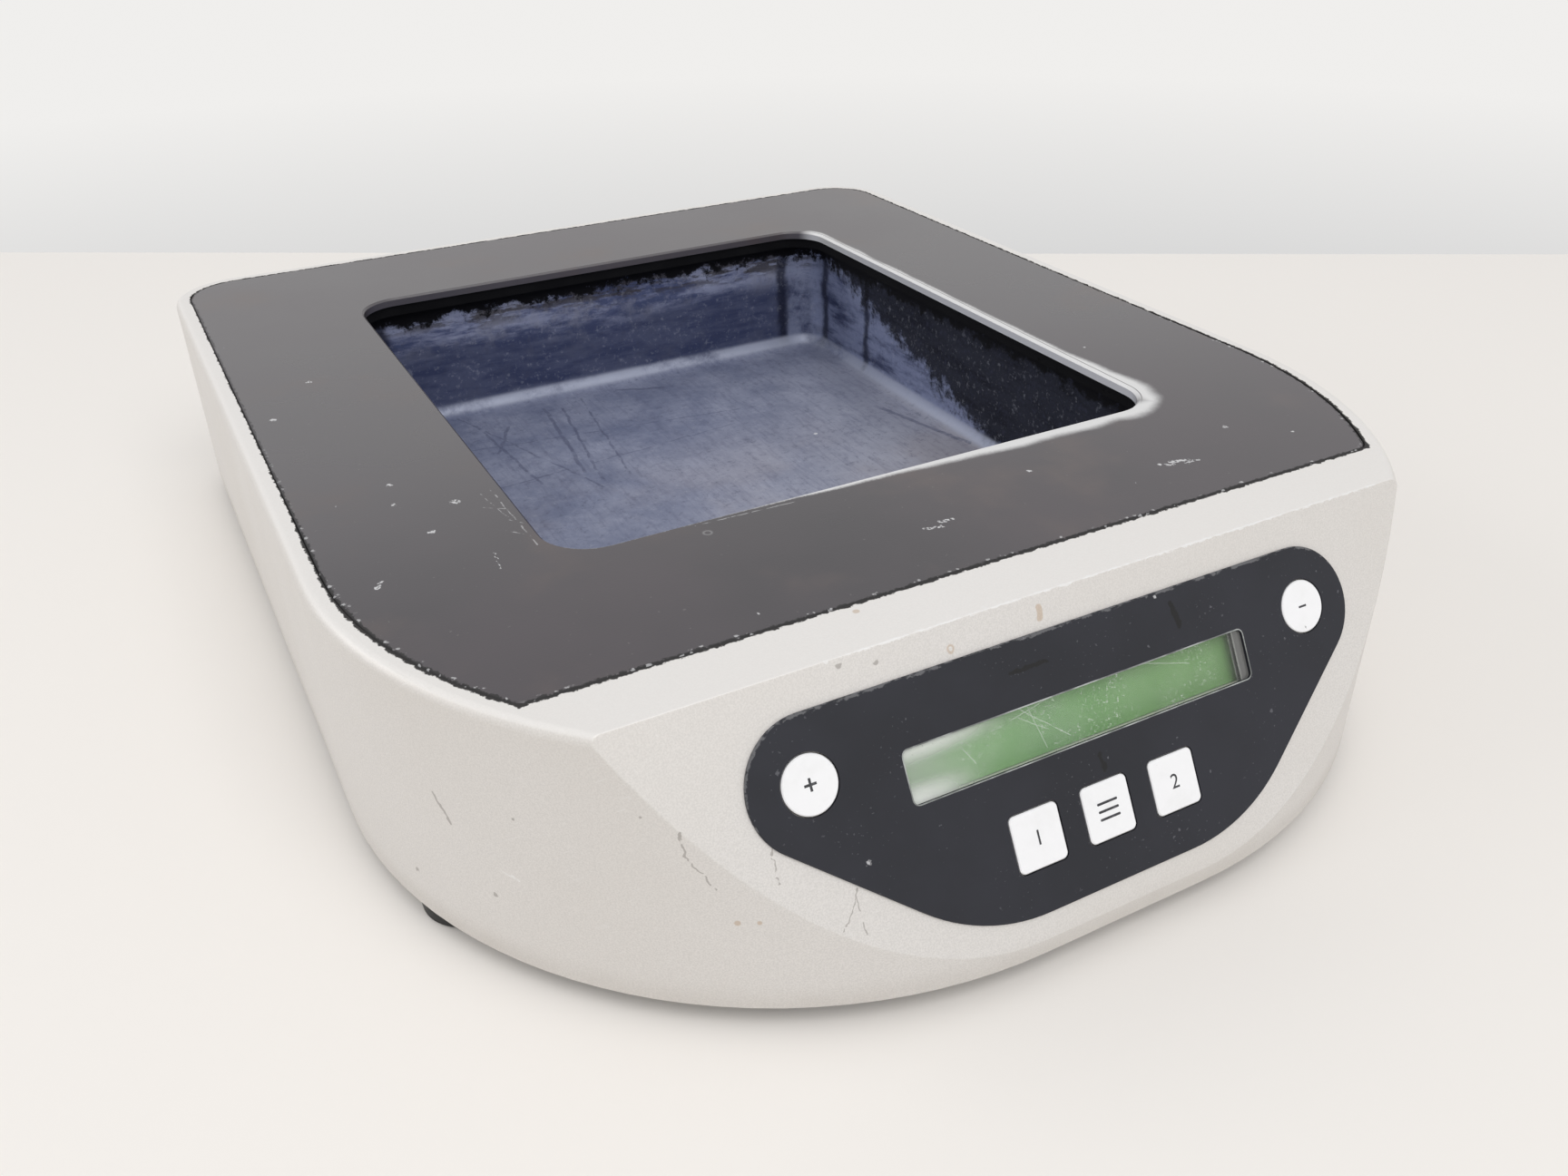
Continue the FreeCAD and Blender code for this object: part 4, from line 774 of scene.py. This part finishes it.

# %% Basin anodising: painted highlights and painted shadow on the right wall
# Painted highlight: the right wall is painted paler along the streaks.
painted_highlight_right_wall = product(
    tree, threshold(tree, sides[0], 99.0 * MM, 102.0 * MM),
    threshold(tree, streaks, 0.3, 0.55))
skin = blend(tree, painted_highlight_right_wall, skin, rgb(0.31, 0.35, 0.52), 0.75)
skin = blend(tree, lines, skin, rgb(0.008, 0.01, 0.028), 0.85)
# Painted shadow: the right wall is painted near-black above a slanted, ragged line.
over_slant = less(tree, height, product(tree, sides[1], 0.3))
shadow_edge_height = total(tree, over_slant, product(tree, ragged, 1.6))
painted_shadow_right_wall = product(
    tree, threshold(tree, sides[0], 100.0 * MM, 102.5 * MM),
    threshold(tree, shadow_edge_height, 0.0, 9.0 * MM))
skin = blend(tree, painted_shadow_right_wall, skin, rgb(0.006, 0.006, 0.01), 0.93)

# %% Basin anodising: the cloudy, scored floor, with painted light toward the front
slope_up = split(tree, normal(tree))[2]
on_floor = threshold(tree, slope_up, 0.55, 0.97)
clouds = cloud(tree, coordinates, 34.0, 8.0, 0.68)
drawn = vector_step(tree, "MULTIPLY", coordinates, (1.0, 0.12, 1.0))
brushed = threshold(tree, cloud(tree, drawn, 620.0, 4.0, 0.65), 0.46, 0.68)
ground = blend(
    tree, threshold(tree, clouds, 0.3, 0.7), rgb(0.17, 0.195, 0.3), rgb(0.31, 0.335, 0.45))
# Painted light: the floor is painted lighter toward the front and left.
painted_light_floor = threshold(tree, less(tree, sides[1], sides[0]), 90.0 * MM, -120.0 * MM)
ground = blend(tree, painted_light_floor, ground, rgb(0.47, 0.475, 0.54), 0.72)
ground = blend(tree, brushed, ground, rgb(0.12, 0.13, 0.21), 0.32)
brown = product(
    tree, use(tree, patches, coordinates, Scale=20.0, Low=0.42, High=0.66),
    threshold(tree, sides[1], 90.0 * MM, -30.0 * MM))
ground = blend(tree, brown, ground, rgb(0.3, 0.27, 0.29), 0.55)
scores = marks(tree, coordinates, on_level(floor_level, [
    (-30.8, 126.3, -37.7, 61.7, 1.2), (-24.3, 122.5, -34.6, 51.1, 0.9),
    (-49.6, 116.2, -60.7, 93.3, 1.0), (-60.7, 122.7, -55.0, 60.0, 0.9),
    (-64.9, 133.5, -36.0, 46.0, 0.7), (-14.0, 128.0, -23.5, 52.3, 0.7),
    (-82.0, 103.0, 46.0, 84.0, 0.5), (-74.0, 64.0, 30.0, 73.0, 0.5),
    (2.5, 129.1, 20.3, 122.0, 1.4), (88.0, 60.0, 100.0, 10.0, 1.5),
]), wobble=2.5, ripple=140.0)
scores = product(tree, scores, threshold(tree, cloud(tree, coordinates, 160.0, 3.0), 0.3, 0.5))
ground = blend(tree, scores, ground, rgb(0.09, 0.1, 0.17), 0.55)
skin = blend(tree, on_floor, skin, ground)
fine = cloud(tree, coordinates, 420.0, 6.0, 0.75)
skin = blend(tree, threshold(tree, fine, 0.52, 0.68), skin, rgb(0.06, 0.065, 0.11), 0.4)
skin = blend(tree, threshold(tree, fine, 0.46, 0.32), skin, rgb(0.5, 0.52, 0.6), 0.22)

# %% Basin anodising: the painted highlight on the bend, specks, and all of it together
# Painted highlight along the bend between wall and floor.
painted_bend_highlight = product(
    tree, threshold(tree, slope_up, 0.08, 0.4), threshold(tree, slope_up, 0.97, 0.75),
    threshold(tree, height, 12.0 * MM, 8.0 * MM), threshold(tree, clouds, 0.3, 0.55))
skin = blend(tree, painted_bend_highlight, skin, rgb(0.42, 0.45, 0.56), 0.75)
# The black band laid on: stain with painted shadow under the plate.
skin = blend(tree, stain_and_shadow_band, skin, rgb(0.004, 0.004, 0.006))
salts = use(tree, flecks, coordinates, Scale=75.0, Size=0.11, Share=0.1)
salts = product(tree, salts, without(tree, stain_and_shadow_band))
skin = blend(tree, salts, skin, rgb(0.72, 0.72, 0.76))
connect(tree, skin, shader, "Base Color")
gloss = between(tree, threshold(tree, mottle, 0.4, 0.7), 0.4, 0.56)
connect(tree, between(tree, highest(tree, stain_and_shadow_band, painted_shadow_right_wall), gloss, 0.95), shader, "Roughness")
shader.inputs["Specular IOR Level"].default_value = 0.3
shader.inputs["Metallic"].default_value = 0.2
print("basin anodising has", len(tree.nodes), "nodes")

# %% [markdown]
# ## Printed film round the keys
# The keypad's film is printed near-black on the back and has a fine matt front. Its cut edge
# frays, so light fibres and black crumbs show along the top, and its front has pale specks
# and a few dark rubs. The film's upper outline is a bar with two round ends, so one distance
# from that bar gives the frayed line.

# %% Keypad film
tree, shader, coordinates, _ = new_finish("overlay_film", 2400.0, 0.02 * MM)
tone = use(tree, patches, coordinates, Scale=30.0, Low=0.35, High=0.7)
film = blend(tree, tone, rgb(0.0095, 0.0105, 0.0165), rgb(0.016, 0.017, 0.025))
specks = use(tree, flecks, coordinates, Scale=520.0, Size=0.3, Share=0.05)
film = blend(tree, specks, film, rgb(0.16, 0.16, 0.18), 0.5)
bright = use(tree, flecks, coordinates, Scale=110.0, Size=0.09, Share=0.12)
film = blend(tree, bright, film, rgb(0.45, 0.45, 0.46))
rubs = marks(tree, coordinates, [
    ((-17.6, -168.0, 65.7), (-6.7, -168.0, 65.6), 0.8),
    ((-60.8, -164.0, 72.7), (-54.1, -163.7, 73.2), 1.3),
    ((31.8, -166.3, 68.6), (32.9, -169.4, 63.3), 1.2),
    ((1.3, -180.5, 43.7), (1.8, -182.6, 40.2), 0.9),
], wobble=1.8, ripple=500.0)
film = blend(tree, rubs, film, rgb(0.003, 0.003, 0.004))
scratched = use(
    tree, hairlines, coordinates, Turn=(0.2, 0.4, 0.7), Scale=1500.0, Low=0.7, High=0.76)
film = blend(tree, scratched, film, rgb(0.2, 0.2, 0.22), 0.25)

# %% Keypad film: the frayed edge
END_RADIUS = 16.05 * MM
FILM_TOP = 8.6 * MM
end_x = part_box("keypad_overlay")[1].x - END_RADIUS
outward = (0.0, -math.sin(FACE_ANGLE), math.cos(FACE_ANGLE))
facing = vector_number(tree, "DOT_PRODUCT", normal(tree), outward)
cut_edge = threshold(tree, facing, 0.9, 0.6)


def film_edge(tree, vector):
    """Distance from the upper outline of the film, along the slope, below 0 on the film."""
    place = split(tree, vector)
    below = less(tree, top, place[2])
    down = calculate(tree, "DIVIDE", below, math.sin(FACE_ANGLE))
    past_end = less(tree, calculate(tree, "ABSOLUTE", place[0]), end_x)
    aside = highest(tree, past_end, 0.0)
    above = calculate(tree, "MINIMUM", less(tree, down, FILM_TOP + END_RADIUS), 0.0)
    away = add(tree, "CombineXYZ", {"X": aside, "Y": above}).outputs[0]
    return less(tree, vector_number(tree, "LENGTH", away), END_RADIUS)


edge = film_edge(tree, coordinates)
crumble = between(tree, cloud(tree, coordinates, 700.0, 4.0, 0.7), -0.8 * MM, 0.8 * MM)
frayed = product(
    tree, threshold(tree, total(tree, edge, crumble), -0.3 * MM, -0.1 * MM),
    use(tree, patches, coordinates, Scale=260.0, Low=0.46, High=0.54),
    threshold(tree, split(tree, coordinates)[2], top - 24.0 * MM, top - 18.0 * MM))
fibres = product(
    tree, cut_edge, threshold(tree, edge, -1.6 * MM, -0.9 * MM),
    use(tree, patches, coordinates, Scale=500.0, Low=0.5, High=0.6))
fray = highest(tree, product(tree, fibres, 0.4), product(tree, frayed, 0.25))
connect(tree, blend(tree, fray, film, rgb(0.42, 0.42, 0.43)), shader, "Base Color")
connect(tree, between(tree, tone, 0.5, 0.58), shader, "Roughness")
shader.inputs["Specular IOR Level"].default_value = 0.4
print("keypad film has", len(tree.nodes), "nodes")

# %% [markdown]
# ## Keys, display and lens
# The keys are glossy white, a little grey where fingers land. The display is the green of an
# unlit reflective cell. The lens in front of it is nearly clear: a low Alpha lets the green
# through. Scratches, haze, a painted reflection at the left end and a grey strip at the right end
# raise it.

# %% White keys
tree, shader, coordinates, _ = new_finish("white_key", 1500.0, 0.015 * MM)
touched = use(tree, patches, coordinates, Scale=170.0, Low=0.45, High=0.75)
white = blend(tree, touched, rgb(0.88, 0.88, 0.89), rgb(0.81, 0.81, 0.81), 0.5)
lint = use(tree, flecks, coordinates, Scale=700.0, Size=0.26, Share=0.025)
connect(tree, blend(tree, lint, white, rgb(0.45, 0.45, 0.45)), shader, "Base Color")
connect(tree, between(tree, touched, 0.32, 0.45), shader, "Roughness")

# %% Dark print of the key marks
tree, shader, coordinates, _ = new_finish("key_print", 1800.0, 0.01 * MM)
thin = use(tree, patches, coordinates, Scale=900.0, Low=0.5, High=0.8)
ink = blend(tree, thin, rgb(0.03, 0.03, 0.035), rgb(0.09, 0.09, 0.1))
connect(tree, ink, shader, "Base Color")
connect(tree, between(tree, thin, 0.42, 0.55), shader, "Roughness")

# %% Green display cell
tree, shader, coordinates, _ = new_finish("green_display", 900.0, 0.01 * MM)
place = split(tree, coordinates)
uneven = use(tree, patches, coordinates, Scale=24.0, Low=0.3, High=0.7)
green = blend(tree, uneven, rgb(0.15, 0.325, 0.12), rgb(0.21, 0.4, 0.165))
toward_end = threshold(tree, place[0], -25.0 * MM, 50.0 * MM)
green = blend(tree, toward_end, green, rgb(0.15, 0.27, 0.085), 0.4)
rows = add(tree, "TexNoise", {"Vector": coordinates, "Scale": 1600.0}).outputs[0]
green = blend(tree, rows, green, rgb(0.12, 0.22, 0.1), 0.12)
connect(tree, green, shader, "Base Color")
connect(tree, between(tree, uneven, 0.3, 0.4), shader, "Roughness")

# %% Clear lens with scratches and haze
tree, shader, coordinates, _ = new_finish("clear_lens", 1200.0, 0.004 * MM)
place = split(tree, coordinates)
scratch = use(tree, hairlines, coordinates, Turn=(0.0, 0.0, 0.4), Scale=2200.0, Low=0.66)
other = use(tree, hairlines, coordinates, Turn=(0.5, 0.0, -0.9), Scale=1900.0, Low=0.67)
long_scratches = marks(tree, coordinates, [
    ((-21.8, -169.7, 61.1), (-4.9, -176.6, 48.9), 0.16),
    ((-25.8, -173.0, 55.3), (-6.0, -171.4, 58.1), 0.14),
    ((-34.2, -173.6, 54.1), (-31.7, -175.6, 50.6), 0.2),
    ((-18.0, -172.5, 56.1), (-9.0, -175.5, 50.8), 0.14),
    ((-15.0, -171.0, 58.8), (-12.0, -177.0, 48.2), 0.14),
    ((20.0, -171.5, 57.9), (34.0, -173.5, 54.4), 0.14),
], wobble=0.5, ripple=200.0)
scratch = highest(tree, scratch, other, long_scratches)

# %% Clear lens: a painted reflection at the left end, and a grey strip at the right end
END_STRIP_X = 48.4 * MM
haze = use(tree, patches, coordinates, Scale=40.0, Low=0.35, High=0.75)
# Painted reflection: the lens is painted whiter along the top and at the lower corner of its left
# end.
along_top = product(
    tree, threshold(tree, place[0], -16.0 * MM, -42.0 * MM),
    threshold(tree, place[2], 53.6 * MM, 57.6 * MM))
at_corner = product(
    tree, threshold(tree, place[0], -30.0 * MM, -47.0 * MM),
    threshold(tree, place[2], 51.0 * MM, 47.4 * MM))
reflection_breakup = between(tree, cloud(tree, coordinates, 90.0, 3.0), 0.6, 1.1)
painted_reflection_left_end = product(tree, highest(tree, along_top, at_corner), reflection_breakup, 0.55)
painted_reflection_fade = product(tree, threshold(tree, place[0], -20.0 * MM, -52.0 * MM), 0.16)
haze_and_painted_reflection = total(tree, between(tree, haze, 0.02, 0.07), painted_reflection_left_end, painted_reflection_fade)
opaque = between(tree, scratch, haze_and_painted_reflection, 0.32)
end_strip = threshold(tree, place[0], END_STRIP_X, END_STRIP_X + 0.8 * MM)
connect(tree, between(tree, end_strip, opaque, 0.93), shader, "Alpha")
tone = blend(tree, scratch, rgb(0.84, 0.87, 0.82), rgb(0.9, 0.92, 0.9))
connect(tree, blend(tree, end_strip, tone, rgb(0.15, 0.15, 0.145)), shader, "Base Color")
connect(tree, between(tree, haze, 0.06, 0.16), shader, "Roughness")
print(len(finishes), "finishes in all")

# %% [markdown]
# ## Giving each solid its finish
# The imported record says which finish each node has. A node's mesh may not change, but its
# material slot may, so the new material simply takes the slot.

# %% Assign the finishes
for subpart in frame["record"]["subparts"]:
    node = nodes[subpart["node"]]
    node.material_slots[0].material = finishes[subpart["material_slot"]]

# %% [markdown]
# ## Marks on the keys
# Each key has a thin dark mark: plus and minus, the numbers 1 and 2, and three bars for the
# menu. A mark is modelled flat at the origin, with up as +Y, and then laid on its key with
# the slope of the control face. It rides on the key's body, so it goes down when pressed.

# %% Laying a flat mark on its key
ROUND_KEY_DOWN = 24.3 * MM
SQUARE_KEY_DOWN = 54.5 * MM
KEY_FRONT = 0.95 * MM
PRINT_THICKNESS = 0.04 * MM
slope = Matrix.Translation((0.0, crease_y, top)) @ Matrix.Rotation(FACE_ANGLE, 4, "X")


def print_on_key(name, shape, down):
    """Makes a flat bmesh a dark mark on a key, and lets it ride on the key's body."""
    key_low, key_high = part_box(name + "_key")
    middle = Vector(((key_low.x + key_high.x) / 2, -down, KEY_FRONT))
    shape.transform(slope @ Matrix.Translation(middle))
    bmesh.ops.recalc_face_normals(shape, faces=shape.faces)
    mark = object_from(name + "_mark", shape)
    mark.data.materials.append(finishes["key_print"])
    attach(mark, name)
    print(mark.name, "has", len(mark.data.polygons), "faces")


def bar(shape, width, height, y=0.0):
    """A thin bar, lying flat, with its middle at a height of its own."""
    size = Matrix.Diagonal((width, height, PRINT_THICKNESS, 1.0))
    place = Matrix.Translation((0.0, y, PRINT_THICKNESS / 2))
    bmesh.ops.create_cube(shape, size=1.0, matrix=place @ size)

# %% [markdown]
# ## Plus, minus and menu
# A plus is a small square block with an arm drawn out of each of its four sides, so that the
# arms join in one piece without crossing faces. The minus is a single bar, and the menu's bars
# are single bars with their corners rounded by a bevel.

# %% Plus, minus and the menu's three bars
LINE = 0.6 * MM
ARM = 1.2 * MM
MINUS = (2.5 * MM, 0.52 * MM)
MENU_BAR = (6.0 * MM, 0.6 * MM)
MENU_STEP = 1.9 * MM
BAR_CORNER = 0.25 * MM

plus = bmesh.new()
bar(plus, LINE, LINE)
for face in [face for face in plus.faces if abs(face.normal.z) < 0.5]:
    outward_arm = face.normal.copy()
    drawn_out = bmesh.ops.extrude_discrete_faces(plus, faces=[face])["faces"][0]
    bmesh.ops.translate(plus, verts=drawn_out.verts, vec=outward_arm * ARM)
print_on_key("plus", plus, ROUND_KEY_DOWN)

minus = bmesh.new()
bar(minus, *MINUS)
print_on_key("minus", minus, ROUND_KEY_DOWN)

menu = bmesh.new()
for row in (-1, 0, 1):
    bar(menu, *MENU_BAR, row * MENU_STEP)
upright = [edge for edge in menu.edges if abs(edge.verts[0].co.z - edge.verts[1].co.z) > 1e-6]
bmesh.ops.bevel(
    menu, geom=upright, offset=BAR_CORNER, segments=3, profile=0.5, affect="EDGES", material=-1)
print_on_key("menu", menu, SQUARE_KEY_DOWN)

# %% [markdown]
# ## The numbers
# Blender's own font gives plain digits. A text object becomes a mesh first, and the mesh then
# takes its place on the key like the other marks.

# %% Numbers 1 and 2
DIGIT_SIZE = 5.2 * MM
for name, digit in (("preset_1", "1"), ("preset_2", "2")):
    writing = bpy.data.curves.new("number_" + digit, "FONT")
    writing.body = digit
    writing.size = DIGIT_SIZE
    writing.align_x = "CENTER"
    writing.align_y = "CENTER"
    writing.extrude = PRINT_THICKNESS / 2
    holder = bpy.data.objects.new("number_" + digit, writing)
    number = bmesh.new()
    number.from_mesh(bpy.data.meshes.new_from_object(holder))
    bmesh.ops.remove_doubles(number, verts=number.verts, dist=1e-6)
    bmesh.ops.translate(number, verts=number.verts, vec=(0.0, 0.0, PRINT_THICKNESS / 2))
    bpy.data.objects.remove(holder)
    print_on_key(name, number, SQUARE_KEY_DOWN)

# %% [markdown]
# ## The outline of the display window
# A thin pale line with rounded corners is a painted highlight where the window's moulded edge
# catches the light. It is a flat frame: a rectangle with bevelled corners, inset once, with its
# middle face taken out and the rest drawn out by a twentieth of a millimetre. It lies on the
# film, right round the cut, and rides on the base as the film does.

# %% Window outline
FILM_FRONT = 0.8 * MM
WINDOW_DOWN = 30.7 * MM
WINDOW_WIDTH = 101.1 * MM
WINDOW_HEIGHT = 12.7 * MM
CORNER = 1.5 * MM
OUTLINE_WIDTH = 0.3 * MM
OUTLINE_HEIGHT = 0.05 * MM
window_low, window_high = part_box("display_window")
window_x = (window_high.x + window_low.x) / 2
ring = bmesh.new()
bmesh.ops.create_grid(ring, x_segments=1, y_segments=1, size=0.5)
outer = (WINDOW_WIDTH + 2 * OUTLINE_WIDTH, WINDOW_HEIGHT + 2 * OUTLINE_WIDTH, 1.0)
bmesh.ops.scale(ring, verts=ring.verts, vec=outer)
bmesh.ops.bevel(
    ring, geom=ring.verts[:], offset=CORNER + OUTLINE_WIDTH, segments=5, profile=0.5,
    affect="VERTICES", material=-1)
bmesh.ops.inset_individual(ring, faces=ring.faces[:], thickness=OUTLINE_WIDTH)
middle = max(ring.faces, key=lambda face: face.calc_area())
bmesh.ops.delete(ring, geom=[middle], context="FACES")
bmesh.ops.solidify(ring, geom=ring.faces[:], thickness=OUTLINE_HEIGHT)
bmesh.ops.recalc_face_normals(ring, faces=ring.faces)
lowest = min(vertex.co.z for vertex in ring.verts)
ring.transform(slope @ Matrix.Translation((window_x, -WINDOW_DOWN, FILM_FRONT - lowest)))
window_outline = object_from("window_outline", ring)
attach(window_outline, "base")
print("window outline", len(window_outline.data.polygons), "faces")

# %% Painted highlight on the moulded edge of the window
tree, shader, coordinates, _ = new_finish("window_edge_highlight", 1600.0, 0.01 * MM)
# Painted highlight: the frame is painted pale, in uneven patches.
uneven_highlight = use(tree, patches, coordinates, Scale=120.0, Low=0.38, High=0.62)
painted_edge_highlight = blend(tree, uneven_highlight, rgb(0.16, 0.17, 0.165), rgb(0.42, 0.44, 0.43))
connect(tree, painted_edge_highlight, shader, "Base Color")
connect(tree, between(tree, uneven_highlight, 0.3, 0.45), shader, "Roughness")
window_outline.data.materials.append(finishes["window_edge_highlight"])
